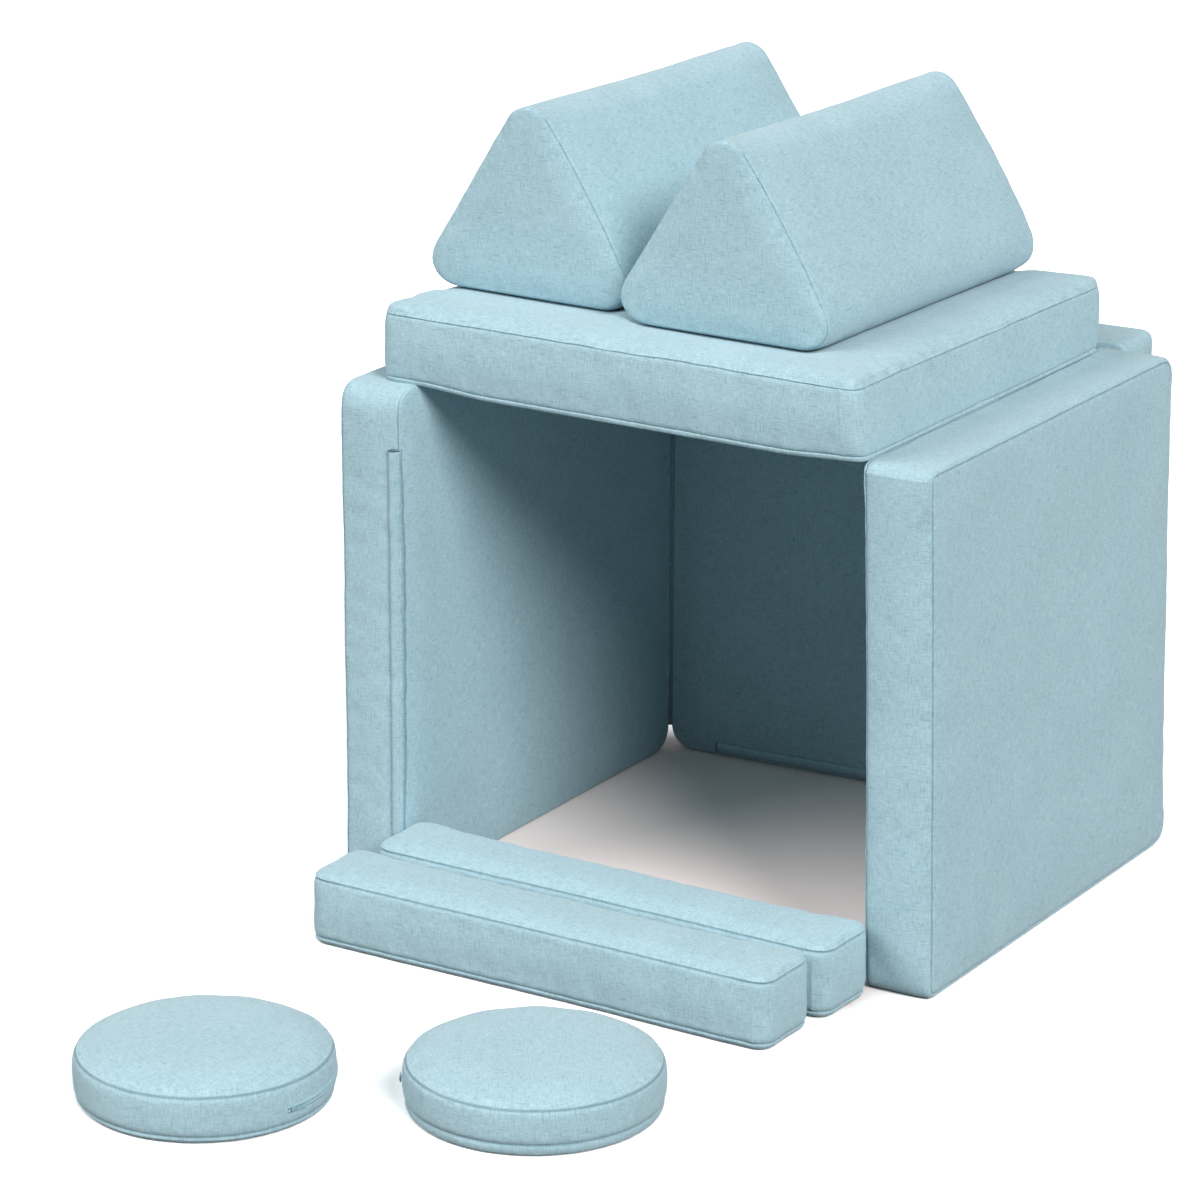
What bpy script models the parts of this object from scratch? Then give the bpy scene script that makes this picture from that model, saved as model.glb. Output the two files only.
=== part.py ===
"""Modular foam play sofa stood up as a den: ten foam pieces in zipped fabric covers.

Two square panels fold on one another along a sewn edge. A third square panel, a roof
cushion, two triangular bolsters, two bars and two round discs are loose. Each piece is a
foam core in a cover with a zip, and each zip has a slider that runs along it.
Metres, +Z up, the floor at z = 0, the den's mouth facing -Y.
"""
import math
from dataclasses import dataclass

import bmesh
import bpy
from mathutils import Matrix, Vector

# Cloth, clearances and the soft rim that every cushion shares
FABRIC = 0.0015
CLEARANCE = 0.0003
RIM = 0.005

# Square panels: two folding leaves and one loose panel
PANEL_SIDE = 0.800
PANEL_THICKNESS = 0.110
PANEL_CORNER = 0.040
PANEL_CROWN = 0.005
PANEL_SWELL = 0.003
PANEL_DRAW = 0.002
LEAF_GAP = 0.0005
BACK_OPEN_ANGLE = math.radians(2.7)
RIGHT_PANEL_BEYOND = 0.0075
RIGHT_PANEL_TURN = math.radians(-0.2)
RIGHT_PANEL_LEAN = 0.018
FOLD_CORD_STEPS = 12

# Roof cushion
ROOF_WIDTH = 0.8265
ROOF_DEPTH = 0.760
ROOF_THICKNESS = 0.1105
ROOF_CORNER = 0.016
ROOF_CROWN = 0.004
ROOF_SWELL = 0.004
ROOF_DRAW = 0.003
ROOF_LEFT = -0.064
ROOF_FRONT = 0.044
ROOF_TURN = math.radians(-1.5)

# Triangular bolsters on the roof
BOLSTER_BASE = 0.428
BOLSTER_ANGLE = math.radians(57.3)
BOLSTER_LENGTH = 0.630
BOLSTER_CORNER = 0.042
BOLSTER_BOW = 0.005
BOLSTER_CROWN = 0.006
BOLSTER_SWELL = 0.003
BOLSTER_GAP = 0.012
BOLSTER_LAG = 0.053
LEFT_BOLSTER_PLACE = (-0.110, 0.198)
LEFT_BOLSTER_TURN = math.radians(-2.2)
RIGHT_BOLSTER_TURN = math.radians(-2.0)

# Bars on the floor before the den
BAR_LENGTH = 0.803
BAR_DEPTH = 0.131
BAR_THICKNESS = 0.112
BAR_CORNER = 0.033
BAR_CROWN = 0.005
BAR_SWELL = 0.003
BAR_DRAW = 0.003
BAR_GAP = 0.0225
BAR_LEFT = 0.005
FRONT_BAR_SHIFT = -0.014
REAR_BAR_REAR = 0.032
FRONT_BAR_TURN = math.radians(-0.8)
REAR_BAR_TURN = math.radians(-1.1)

# Round discs in front of the bars
DISC_RADIUS = 0.180
DISC_THICKNESS = 0.080
DISC_CROWN = 0.008
DISC_SWELL = 0.003
DISC_STEPS = 32
DISC_ZIP_STEPS = 12
LEFT_DISC_PLACE = (0.194, -0.790)
LEFT_DISC_ZIP_ANGLE = math.radians(-16)
RIGHT_DISC_PLACE = (0.606, -0.583)
RIGHT_DISC_ZIP_ANGLE = math.radians(211)

# Zips: a slit in the cover, a tape with its chain in the slit, and a slider with its pull
SLIT_WIDTH = 0.008
CHAIN_WIDTH = 0.0042
CHAIN_SLOPE = 0.0008
CHAIN_HEIGHT = 0.0010
PANEL_ZIP_EDGE = 0.012
ZIP_MARGIN = 0.050
SLIDER_LENGTH = 0.010
SLIDER_WIDTH = 0.0066
SLIDER_HEIGHT = 0.0024
PULL_LENGTH = 0.018
PULL_THICKNESS = 0.0012
END_STOP = 0.004

# How a cushion's face rises from its rim: (share of the outline, share of the crown)
CROWN_SHARES = ((0.84, 0.60), (0.50, 0.94))
FLAT_CROWN_SHARES = ((0.88, 0.80), (0.60, 1.00))
END_CROWN_SHARES = ((0.76, 0.50), (0.40, 0.92))
# The same on a narrow bar: (share of the corner's radius, share of the crown)
BAR_CROWN_SHARES = ((0.58, 0.55), (0.95, 1.00))
ZIP_LEVEL_SHARE = 0.20
EDGE_FULLNESS_SHARE = 0.45
CORNER_STEP_ANGLE = math.radians(30)
SHARP_EDGE_ANGLE = math.radians(35)
QUARTER_TURN = math.radians(90)

# Colours of the parts, as linear red, green and blue, with roughness and metallic values
FINISHES = {
    "cover": ((0.42, 0.62, 0.69), 0.95, 0.0),
    "foam": ((0.78, 0.76, 0.66), 1.00, 0.0),
    "zip": ((0.33, 0.52, 0.59), 0.80, 0.0),
    "slider": ((0.30, 0.47, 0.53), 0.45, 0.6),
    "seam": ((0.36, 0.55, 0.62), 0.95, 0.0),
}


@dataclass
class Side:
    """One side of an outline: its bow outward, how full its boxing is, and its stations."""
    bow: float = 0.0
    swell: float = 0.0
    marks: tuple = ()


@dataclass
class Station:
    """One point of an outline with its outward normal."""
    place: Vector
    normal: Vector
    swell: float
    side: int = -1


@dataclass
class Ring:
    """One turn of a cushion's skin, read from the outline."""
    height: float
    offset: float = 0.0
    scale: float = 1.0
    fullness: float = 0.0
    bounds_slit: bool = False


@dataclass
class Zip:
    """Where a zip's tape lies: its frame in the cushion and its length."""
    frame: Matrix
    length: float


def clear_scene():
    for item in list(bpy.data.objects):
        bpy.data.objects.remove(item, do_unlink=True)


def make_collection(name):
    collection = bpy.data.collections.new(name)
    bpy.context.scene.collection.children.link(collection)
    return collection


def make_material(name, finish):
    colour, roughness, metallic = FINISHES[finish]
    material = bpy.data.materials.new(name)
    material.use_nodes = True
    shader = material.node_tree.nodes["Principled BSDF"]
    shader.inputs["Base Color"].default_value = (*colour, 1.0)
    shader.inputs["Roughness"].default_value = roughness
    shader.inputs["Metallic"].default_value = metallic
    return material


def make_frame(name, matrix, parent, collection):
    """An empty that carries one piece."""
    frame = bpy.data.objects.new(name, None)
    collection.objects.link(frame)
    frame.parent = parent
    frame.matrix_local = matrix
    return frame


def add_part(name, mesh, finish, frame, collection, matrix=Matrix()):
    """A named part with its own material, placed in the frame that carries it."""
    mesh.name = name
    mesh.materials.append(make_material(name, finish))
    mesh.shade_smooth()
    mesh.set_sharp_from_angle(angle=SHARP_EDGE_ANGLE)
    part = bpy.data.objects.new(name, mesh)
    collection.objects.link(part)
    part.parent = frame
    part.matrix_local = matrix
    return part


def flat_place(place, turn, height=0.0):
    """A frame lying flat, turned about Z."""
    return Matrix.Translation((*place, height)) @ Matrix.Rotation(turn, 4, "Z")


def upright_place(place, turn, height=0.0):
    """A frame whose Y axis points up and whose Z axis points to -Y before the turn."""
    return flat_place(place, turn, height) @ Matrix.Rotation(QUARTER_TURN, 4, "X")


def axes_matrix(origin, along, outward):
    """A frame with X along a zip and Z out of the cushion."""
    across = outward.cross(along)
    rotation = Matrix((along, across, outward)).transposed().to_4x4()
    return Matrix.Translation(origin) @ rotation


def rounded_outline(corners, sides, radius):
    """Stations round a convex outline, anticlockwise, with rounded corners and bowed sides."""
    stations = []
    count = len(corners)
    directions = [(corners[(i + 1) % count] - corners[i]).normalized() for i in range(count)]
    turns = [directions[i].angle(directions[i - 1]) for i in range(count)]
    tangents = [radius * math.tan(turn / 2) for turn in turns]
    for i in range(count):
        before, side = directions[i - 1], sides[i]
        out = Vector((before.y, -before.x))
        centre = corners[i] - before * tangents[i] - out * radius
        steps = round(turns[i] / CORNER_STEP_ANGLE)
        for step in range(steps + 1):
            share = step / steps
            normal = Matrix.Rotation(turns[i] * share, 2) @ out
            swell = sides[i - 1].swell * (1 - share) + side.swell * share
            stations.append(Station(centre + normal * radius, normal, swell))
        length = (corners[(i + 1) % count] - corners[i]).length
        run = length - tangents[i] - tangents[(i + 1) % count]
        out = Vector((directions[i].y, -directions[i].x))
        for mark in side.marks:
            share = (mark - tangents[i]) / run
            bow = side.bow * (1 - (2 * share - 1) ** 2)
            place = corners[i] + directions[i] * mark + out * bow
            stations.append(Station(place, out, side.swell, i))
    return stations


def zip_side(stations):
    """The side that the zip cuts is the one with two marked stations."""
    marked = [s.side for s in stations if s.side >= 0]
    return next(side for side in marked if marked.count(side) == 2)


def ring_place(station, ring, centre):
    flat = centre + (station.place - centre) * ring.scale
    flat += station.normal * (ring.offset + ring.fullness * station.swell)
    return Vector((flat.x, flat.y, ring.height))


def loft(stations, rings, slit_stations=()):
    """A skin through the rings, closed at both ends, open where the slit's rings bound it."""
    mesh = bmesh.new()
    number = mesh.verts.layers.int.new("station")
    centre = sum((s.place for s in stations), Vector((0.0, 0.0))) / len(stations)
    circle = bmesh.ops.create_circle(mesh, cap_ends=True, segments=len(stations), radius=1)
    for index, vertex in enumerate(circle["verts"]):
        vertex[number] = index
        vertex.co = ring_place(stations[index], rings[0], centre)
    edges = list(mesh.edges)
    slit = []
    for below, ring in zip(rings, rings[1:]):
        grown = bmesh.ops.extrude_edge_only(mesh, edges=edges)["geom"]
        for vertex in (g for g in grown if isinstance(g, bmesh.types.BMVert)):
            vertex.co = ring_place(stations[vertex[number]], ring, centre)
        edges = [g for g in grown if isinstance(g, bmesh.types.BMEdge)]
        faces = [g for g in grown if isinstance(g, bmesh.types.BMFace)]
        if below.bounds_slit and ring.bounds_slit:
            slit += [f for f in faces if all(v[number] in slit_stations for v in f.verts)]
    bmesh.ops.edgeloop_fill(mesh, edges=edges)
    bmesh.ops.recalc_face_normals(mesh, faces=list(mesh.faces))
    if slit_stations:
        bmesh.ops.delete(mesh, geom=slit, context="FACES")
    data = bpy.data.meshes.new("skin")
    mesh.to_mesh(data)
    mesh.free()
    return data


def scaled_crown(shares):
    """A crown whose rings are smaller copies of the outline."""
    return [Ring(share, scale=scale) for scale, share in shares]


def parallel_crown(corner, shares):
    """A crown whose rings run parallel to the outline."""
    return [Ring(share, offset=-corner * reach) for reach, share in shares]


def cap_rings(level, direction, crown, profile, inset):
    """Rings of one face, from its middle out to the rim. The direction is +1 for the top."""
    rings = []
    for ring in reversed(profile if crown else ()):
        height = level + direction * (crown * ring.height - inset)
        rings.append(Ring(height, offset=ring.offset, scale=ring.scale))
    shift = inset * (math.sqrt(2) - 1)
    rings.append(Ring(level - direction * inset, offset=-RIM - shift))
    return rings


def skin_rings(thickness, crowns, profile, boxing=(), slit_in_cap=False, inset=0.0):
    """All rings of a cushion from the middle of its base to the middle of its top."""
    shift = inset * (math.sqrt(2) - 1)
    base = cap_rings(0.0, -1, crowns[0], profile, inset)
    top = cap_rings(thickness, 1, crowns[1], profile, inset)
    if slit_in_cap:
        level = thickness + crowns[1] * ZIP_LEVEL_SHARE
        near = Ring(level, offset=-PANEL_ZIP_EDGE, bounds_slit=True)
        far = Ring(level, offset=-PANEL_ZIP_EDGE - SLIT_WIDTH, bounds_slit=True)
        top[-1:-1] = [far, near]
    rims = [Ring(RIM + shift, offset=-inset), Ring(thickness - RIM - shift, offset=-inset)]
    return base + [rims[0], *boxing, rims[1]] + top[::-1]


def rectangle(width, depth):
    return [Vector(p) for p in ((0.0, 0.0), (width, 0.0), (width, depth), (0.0, depth))]


def middle_marks(length):
    return (length / 2,)


def slit_marks(length):
    """Both edges of a slit that crosses the middle of a side."""
    return ((length - SLIT_WIDTH) / 2, (length + SLIT_WIDTH) / 2)


def zip_ends(length, corner):
    """Where a zip along a side starts and ends, short of both corners."""
    return (corner + ZIP_MARGIN, length - corner - ZIP_MARGIN)


def solidify(part):
    """The fabric's thickness, laid inward from the outer skin."""
    modifier = part.modifiers.new("fabric", "SOLIDIFY")
    modifier.thickness = FABRIC
    modifier.offset = -1.0
    modifier.use_even_offset = True


def add_cushion(name, stations, cover_rings, core_rings, zipper, frame, collection, lean=0.0):
    """The cover with its slit, the foam core in it, the zip in the slit and the zip's slider."""
    side = zip_side(stations)
    slit = [i for i, s in enumerate(stations) if s.side == side]
    shear = Matrix.Identity(4)
    shear[2][1] = lean
    cover = loft(stations, cover_rings, slit)
    core = loft(stations, core_rings)
    tape = zip_tape(zipper.length)
    slider = zip_slider()
    tape.transform(zipper.frame)
    slider_frame = zipper.frame @ Matrix.Translation((END_STOP, 0.0, 0.0))
    for mesh in (cover, core, tape):
        mesh.transform(shear)
    solidify(add_part(name + "_cover", cover, "cover", frame, collection))
    add_part(name + "_foam_core", core, "foam", frame, collection)
    add_part(name + "_zip", tape, "zip", frame, collection)
    add_part(name + "_zip_slider", slider, "slider", frame, collection, shear @ slider_frame)


def zip_tape(length):
    """A tape as long as the slit, level with the cover, with its chain as a raised rib."""
    mesh = bmesh.new()
    bmesh.ops.create_cube(mesh, size=1.0)
    width = SLIT_WIDTH - 2 * CLEARANCE
    bmesh.ops.scale(mesh, vec=(length - 2 * CLEARANCE, width, FABRIC), verts=list(mesh.verts))
    bmesh.ops.translate(mesh, vec=(length / 2, 0.0, -FABRIC / 2), verts=list(mesh.verts))
    top = max(mesh.faces, key=lambda face: face.calc_center_median().z)
    bmesh.ops.inset_region(mesh, faces=[top], thickness=(width - CHAIN_WIDTH) / 2)
    bmesh.ops.inset_region(mesh, faces=[top], thickness=CHAIN_SLOPE, depth=CHAIN_HEIGHT)
    data = bpy.data.meshes.new("tape")
    mesh.to_mesh(data)
    mesh.free()
    return data


def slider_outline():
    """Side view of a slider, with its pull lying along the chain."""
    foot = CHAIN_HEIGHT + CLEARANCE
    step = foot + SLIDER_HEIGHT
    end = SLIDER_LENGTH + PULL_LENGTH
    return ((0.0, foot), (SLIDER_LENGTH, foot), (SLIDER_LENGTH, step), (end, step),
            (end, step + PULL_THICKNESS), (0.0, step + PULL_THICKNESS))


def zip_slider():
    """The slider's side view, extruded across the chain."""
    curve = bpy.data.curves.new("slider", "CURVE")
    curve.dimensions = "2D"
    curve.fill_mode = "BOTH"
    curve.extrude = SLIDER_WIDTH / 2
    points = slider_outline()
    spline = curve.splines.new("POLY")
    spline.points.add(len(points) - 1)
    for point, (x, z) in zip(spline.points, points):
        point.co = (x, z, 0.0, 1.0)
    spline.use_cyclic_u = True
    data = mesh_of_curve(curve)
    data.transform(Matrix.Rotation(QUARTER_TURN, 4, "X"))
    return data


def mesh_of_curve(curve):
    """A closed mesh of a filled curve, which is then removed."""
    holder = bpy.data.objects.new("outline", curve)
    bpy.context.scene.collection.objects.link(holder)
    evaluated = holder.evaluated_get(bpy.context.evaluated_depsgraph_get())
    data = bpy.data.meshes.new_from_object(evaluated)
    bpy.data.objects.remove(holder, do_unlink=True)
    bpy.data.curves.remove(curve)
    mesh = bmesh.new()
    mesh.from_mesh(data)
    bmesh.ops.remove_doubles(mesh, verts=list(mesh.verts), dist=CLEARANCE / 10)
    bmesh.ops.recalc_face_normals(mesh, faces=list(mesh.faces))
    mesh.to_mesh(data)
    mesh.free()
    return data


def panel_core_rings():
    return skin_rings(PANEL_THICKNESS, (PANEL_CROWN, PANEL_CROWN), scaled_crown(CROWN_SHARES),
                      inset=FABRIC + CLEARANCE)


def panel_outline(zipped_side, loose_sides):
    """A square panel's outline. It stands flat on side 0 and bears load on side 2."""
    sides = []
    for index in range(4):
        bow = -PANEL_DRAW if index in loose_sides and index != zipped_side else 0.0
        swell = PANEL_SWELL if index in loose_sides else 0.0
        marks = middle_marks(PANEL_SIDE)
        if index == zipped_side:
            marks = zip_ends(PANEL_SIDE, PANEL_CORNER)
        sides.append(Side(bow, swell, marks))
    return rounded_outline(rectangle(PANEL_SIDE, PANEL_SIDE), sides, PANEL_CORNER)


def add_face_zip_panel(name, loose_sides, frame, collection, lean=0.0):
    """A panel whose zip runs along the foot of its inner face."""
    stations = panel_outline(0, loose_sides)
    middle = Ring(PANEL_THICKNESS / 2, fullness=1.0)
    cover_rings = skin_rings(PANEL_THICKNESS, (PANEL_CROWN, PANEL_CROWN),
                             scaled_crown(CROWN_SHARES), boxing=(middle,), slit_in_cap=True)
    level = PANEL_THICKNESS + PANEL_CROWN * ZIP_LEVEL_SHARE
    start, end = zip_ends(PANEL_SIDE, PANEL_CORNER)
    origin = Vector((start, PANEL_ZIP_EDGE + SLIT_WIDTH / 2, level))
    zipper = Zip(axes_matrix(origin, Vector((1, 0, 0)), Vector((0, 0, 1))), end - start)
    add_cushion(name, stations, cover_rings, panel_core_rings(), zipper, frame, collection, lean)


def add_left_panel(frame, collection):
    """The leaf whose zip runs up its front end, next to the inner face."""
    stations = panel_outline(3, (3,))
    near = PANEL_THICKNESS - PANEL_ZIP_EDGE
    far = near - SLIT_WIDTH
    boxing = (Ring(PANEL_THICKNESS / 2, fullness=1.0),
              Ring(far, fullness=EDGE_FULLNESS_SHARE, bounds_slit=True),
              Ring(near, fullness=EDGE_FULLNESS_SHARE, bounds_slit=True))
    cover_rings = skin_rings(PANEL_THICKNESS, (PANEL_CROWN, PANEL_CROWN),
                             scaled_crown(CROWN_SHARES), boxing=boxing)
    foot, top = zip_ends(PANEL_SIDE, PANEL_CORNER)
    origin = Vector((-PANEL_SWELL * EDGE_FULLNESS_SHARE, top, (near + far) / 2))
    zipper = Zip(axes_matrix(origin, Vector((0, -1, 0)), Vector((-1, 0, 0))), top - foot)
    add_cushion("left_panel", stations, cover_rings, panel_core_rings(), zipper, frame, collection)


def add_fold_cord(frame, collection):
    """The sewn edge that both leaves turn on, as a cord rolled between their rims."""
    length = PANEL_SIDE - 2 * PANEL_CORNER
    radius = RIM / math.sqrt(2) - CLEARANCE
    mesh = bmesh.new()
    bmesh.ops.create_cone(mesh, cap_ends=True, segments=FOLD_CORD_STEPS, radius1=radius,
                          radius2=radius, depth=length)
    data = bpy.data.meshes.new("cord")
    mesh.to_mesh(data)
    mesh.free()
    upright = Matrix.Translation((0.0, 0.0, PANEL_SIDE / 2))
    add_part("fold_seam", data, "seam", frame, collection, upright)


def add_boxed_cushion(name, width, depth, thickness, corner, crown, swell, draw, profile,
                      frame, collection):
    """A cushion lying flat with its zip along the boxing of its rear side."""
    start, end = zip_ends(width, corner)
    sides = [Side(-draw, swell, middle_marks(width)), Side(-draw, swell, middle_marks(depth)),
             Side(0.0, swell, (start, end)), Side(-draw, swell, middle_marks(depth))]
    stations = rounded_outline(rectangle(width, depth), sides, corner)
    low, high = thickness / 2 - SLIT_WIDTH / 2, thickness / 2 + SLIT_WIDTH / 2
    boxing = [Ring(h, fullness=1.0, bounds_slit=True) for h in (low, high)]
    cover_rings = skin_rings(thickness, (0.0, crown), profile, boxing=boxing)
    core_rings = skin_rings(thickness, (0.0, crown), profile, inset=FABRIC + CLEARANCE)
    origin = Vector((start, depth + swell, thickness / 2))
    zipper = Zip(axes_matrix(origin, Vector((1, 0, 0)), Vector((0, 1, 0))), end - start)
    add_cushion(name, stations, cover_rings, core_rings, zipper, frame, collection)


def add_roof(frame, collection):
    add_boxed_cushion("roof_cushion", ROOF_WIDTH, ROOF_DEPTH, ROOF_THICKNESS, ROOF_CORNER,
                      ROOF_CROWN, ROOF_SWELL, ROOF_DRAW, scaled_crown(FLAT_CROWN_SHARES),
                      frame, collection)


def add_bar(name, frame, collection):
    add_boxed_cushion(name, BAR_LENGTH, BAR_DEPTH, BAR_THICKNESS, BAR_CORNER, BAR_CROWN,
                      BAR_SWELL, BAR_DRAW, parallel_crown(BAR_CORNER, BAR_CROWN_SHARES),
                      frame, collection)


def add_bolster(name, frame, collection):
    """A triangular bolster. Its outline is the end view and its zip runs along the left face."""
    half = BOLSTER_BASE / 2
    slope = half / math.cos(BOLSTER_ANGLE)
    rise = slope * math.sin(BOLSTER_ANGLE)
    corners = [Vector(p) for p in ((0.0, 0.0), (BOLSTER_BASE, 0.0), (half, rise))]
    sides = [Side(0.0, 0.0, middle_marks(BOLSTER_BASE)),
             Side(BOLSTER_BOW, BOLSTER_SWELL, middle_marks(slope)),
             Side(0.0, BOLSTER_SWELL, slit_marks(slope))]
    stations = rounded_outline(corners, sides, BOLSTER_CORNER)
    start, end = zip_ends(BOLSTER_LENGTH, RIM)
    boxing = [Ring(h, fullness=1.0, bounds_slit=True) for h in (start, end)]
    crowns = (BOLSTER_CROWN, BOLSTER_CROWN)
    profile = scaled_crown(END_CROWN_SHARES)
    cover_rings = skin_rings(BOLSTER_LENGTH, crowns, profile, boxing=boxing)
    core_rings = skin_rings(BOLSTER_LENGTH, crowns, profile, inset=FABRIC + CLEARANCE)
    outward = Vector((-math.sin(BOLSTER_ANGLE), math.cos(BOLSTER_ANGLE), 0.0))
    face = (corners[2] + corners[0]).to_3d() / 2
    origin = face + outward * BOLSTER_SWELL + Vector((0.0, 0.0, start))
    zipper = Zip(axes_matrix(origin, Vector((0, 0, 1)), outward), end - start)
    add_cushion(name, stations, cover_rings, core_rings, zipper, frame, collection)


def disc_stations():
    """A circle of stations whose first ones bound the zip."""
    stations = []
    for step in range(DISC_STEPS):
        angle = 2 * math.pi * step / DISC_STEPS
        normal = Vector((math.cos(angle), math.sin(angle)))
        stations.append(Station(normal * DISC_RADIUS, normal, DISC_SWELL))
    return stations


def disc_zip(direction):
    """The zip's section turned about the disc's axis, in steps that match the cover's."""
    outer = DISC_RADIUS + DISC_SWELL
    half = SLIT_WIDTH / 2 - CLEARANCE
    crest, rib = CHAIN_WIDTH / 2 - CHAIN_SLOPE, CHAIN_WIDTH / 2
    section = ((-half, -FABRIC), (half, -FABRIC), (half, 0.0), (rib, 0.0), (crest, CHAIN_HEIGHT),
               (-crest, CHAIN_HEIGHT), (-rib, 0.0), (-half, 0.0))
    margin = direction * CLEARANCE / outer
    sweep = direction * 2 * math.pi * DISC_ZIP_STEPS / DISC_STEPS
    mesh = bmesh.new()
    level = DISC_THICKNESS / 2
    verts = [mesh.verts.new((outer + out, 0.0, level + across)) for across, out in section]
    face = mesh.faces.new(verts)
    bmesh.ops.rotate(mesh, verts=verts, matrix=Matrix.Rotation(margin, 3, "Z"))
    geometry = verts + list(face.edges) + [face]
    bmesh.ops.spin(mesh, geom=geometry, cent=(0, 0, 0), axis=(0, 0, 1), steps=DISC_ZIP_STEPS,
                   angle=sweep - 2 * margin)
    bmesh.ops.recalc_face_normals(mesh, faces=list(mesh.faces))
    data = bpy.data.meshes.new("disc_zip")
    mesh.to_mesh(data)
    mesh.free()
    return data


def add_disc(name, direction, frame, collection):
    """A disc lying flat. Its zip starts on local X and runs round the wall in the direction."""
    stations = disc_stations()
    slit = [direction * step % DISC_STEPS for step in range(DISC_ZIP_STEPS + 1)]
    low = DISC_THICKNESS / 2 - SLIT_WIDTH / 2
    boxing = [Ring(h, fullness=1.0, bounds_slit=True) for h in (low, low + SLIT_WIDTH)]
    profile = scaled_crown(END_CROWN_SHARES)
    cover_rings = skin_rings(DISC_THICKNESS, (0.0, DISC_CROWN), profile, boxing=boxing)
    cover = loft(stations, cover_rings, slit)
    solidify(add_part(name + "_cover", cover, "cover", frame, collection))
    core_rings = skin_rings(DISC_THICKNESS, (0.0, DISC_CROWN), profile,
                            inset=FABRIC + CLEARANCE)
    add_part(name + "_foam_core", loft(stations, core_rings), "foam", frame, collection)
    add_part(name + "_zip", disc_zip(direction), "zip", frame, collection)
    centre = Vector((DISC_RADIUS + DISC_SWELL, -direction * SLIDER_LENGTH / 2, DISC_THICKNESS / 2))
    seat = axes_matrix(centre, Vector((0, direction, 0)), Vector((1, 0, 0)))
    turn = Matrix.Rotation(direction * 2 * math.pi / DISC_STEPS, 4, "Z")
    add_part(name + "_zip_slider", zip_slider(), "slider", frame, collection, turn @ seat)


def right_panel_place():
    """The loose panel stands under the roof's right edge and leans in at the top.

    Its rear end stops just short of the back leaf.
    """
    inner = ROOF_LEFT + ROOF_WIDTH + RIGHT_PANEL_BEYOND
    touch = inner + RIM
    face = PANEL_SIDE + touch * math.tan(BACK_OPEN_ANGLE) - PANEL_CROWN * EDGE_FULLNESS_SHARE
    rear = face - PANEL_SWELL - CLEARANCE
    foot = inner + RIGHT_PANEL_LEAN
    return (foot - rear * math.tan(RIGHT_PANEL_TURN), rear)


def right_bolster_place():
    """The right bolster lies beside the left one's rounded base, a little nearer the front."""
    corner = BOLSTER_CORNER * (1 / math.tan(BOLSTER_ANGLE / 2) - 1)
    base = BOLSTER_BASE - 2 * corner
    return (LEFT_BOLSTER_PLACE[0] + base + BOLSTER_GAP, LEFT_BOLSTER_PLACE[1] - BOLSTER_LAG)


def bar_places():
    """The rear bar starts between the panels and the front bar lies a gap before it."""
    rear = REAR_BAR_REAR - BAR_DEPTH
    return (BAR_LEFT + FRONT_BAR_SHIFT, rear - BAR_GAP - BAR_DEPTH), (BAR_LEFT, rear)


def centre_over_floor(root):
    """Moves the whole model so that the origin lies under the middle of its box."""
    bpy.context.view_layer.update()
    depsgraph = bpy.context.evaluated_depsgraph_get()
    points = []
    for item in bpy.context.scene.objects:
        if item.type == "MESH":
            shape = item.evaluated_get(depsgraph)
            points += [shape.matrix_world @ v.co for v in shape.data.vertices]
    for axis in (0, 1):
        values = [p[axis] for p in points]
        root.location[axis] -= (min(values) + max(values)) / 2


def build():
    clear_scene()
    sofa = make_collection("modular_foam_play_sofa")
    root = make_frame("den", Matrix(), None, sofa)
    inward = Matrix.Translation((0.0, 0.0, -PANEL_THICKNESS))
    left = make_frame("left_panel_frame", upright_place((0.0, -LEAF_GAP), QUARTER_TURN) @ inward,
                      root, sofa)
    add_left_panel(left, sofa)
    fold = make_frame("fold_axis", Matrix.Translation((0.0, PANEL_SIDE, 0.0)), root, sofa)
    add_fold_cord(fold, sofa)
    leaf = upright_place((0.0, 0.0), BACK_OPEN_ANGLE)
    leaf = leaf @ Matrix.Translation((LEAF_GAP, 0.0, 0.0)) @ inward
    back = make_frame("back_panel_frame", leaf, fold, sofa)
    add_face_zip_panel("back_panel", (1,), back, sofa)
    stand = upright_place(right_panel_place(), RIGHT_PANEL_TURN - QUARTER_TURN) @ inward
    right = make_frame("right_panel_frame", stand, root, sofa)
    add_face_zip_panel("right_panel", (1, 3), right, sofa, RIGHT_PANEL_LEAN / PANEL_SIDE)
    roof_level = PANEL_SIDE + CLEARANCE
    roof = make_frame("roof_frame", flat_place((ROOF_LEFT, ROOF_FRONT), ROOF_TURN, roof_level),
                      root, sofa)
    add_roof(roof, sofa)
    deck = roof_level + ROOF_THICKNESS + ROOF_CROWN + CLEARANCE
    for name, place, turn in (("left_bolster", LEFT_BOLSTER_PLACE, LEFT_BOLSTER_TURN),
                              ("right_bolster", right_bolster_place(), RIGHT_BOLSTER_TURN)):
        matrix = upright_place(place, turn, deck) @ Matrix.Translation((0, 0, -BOLSTER_LENGTH))
        add_bolster(name, make_frame(name + "_frame", matrix, root, sofa), sofa)
    front_place, rear_place = bar_places()
    for name, place, turn in (("front_bar", front_place, FRONT_BAR_TURN),
                              ("rear_bar", rear_place, REAR_BAR_TURN)):
        add_bar(name, make_frame(name + "_frame", flat_place(place, turn), root, sofa), sofa)
    for name, place, turn, way in (("left_disc", LEFT_DISC_PLACE, LEFT_DISC_ZIP_ANGLE, 1),
                                   ("right_disc", RIGHT_DISC_PLACE, RIGHT_DISC_ZIP_ANGLE, -1)):
        frame = make_frame(name + "_frame", flat_place(place, turn), root, sofa)
        add_disc(name, way, frame, sofa)
    centre_over_floor(root)


build()
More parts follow.
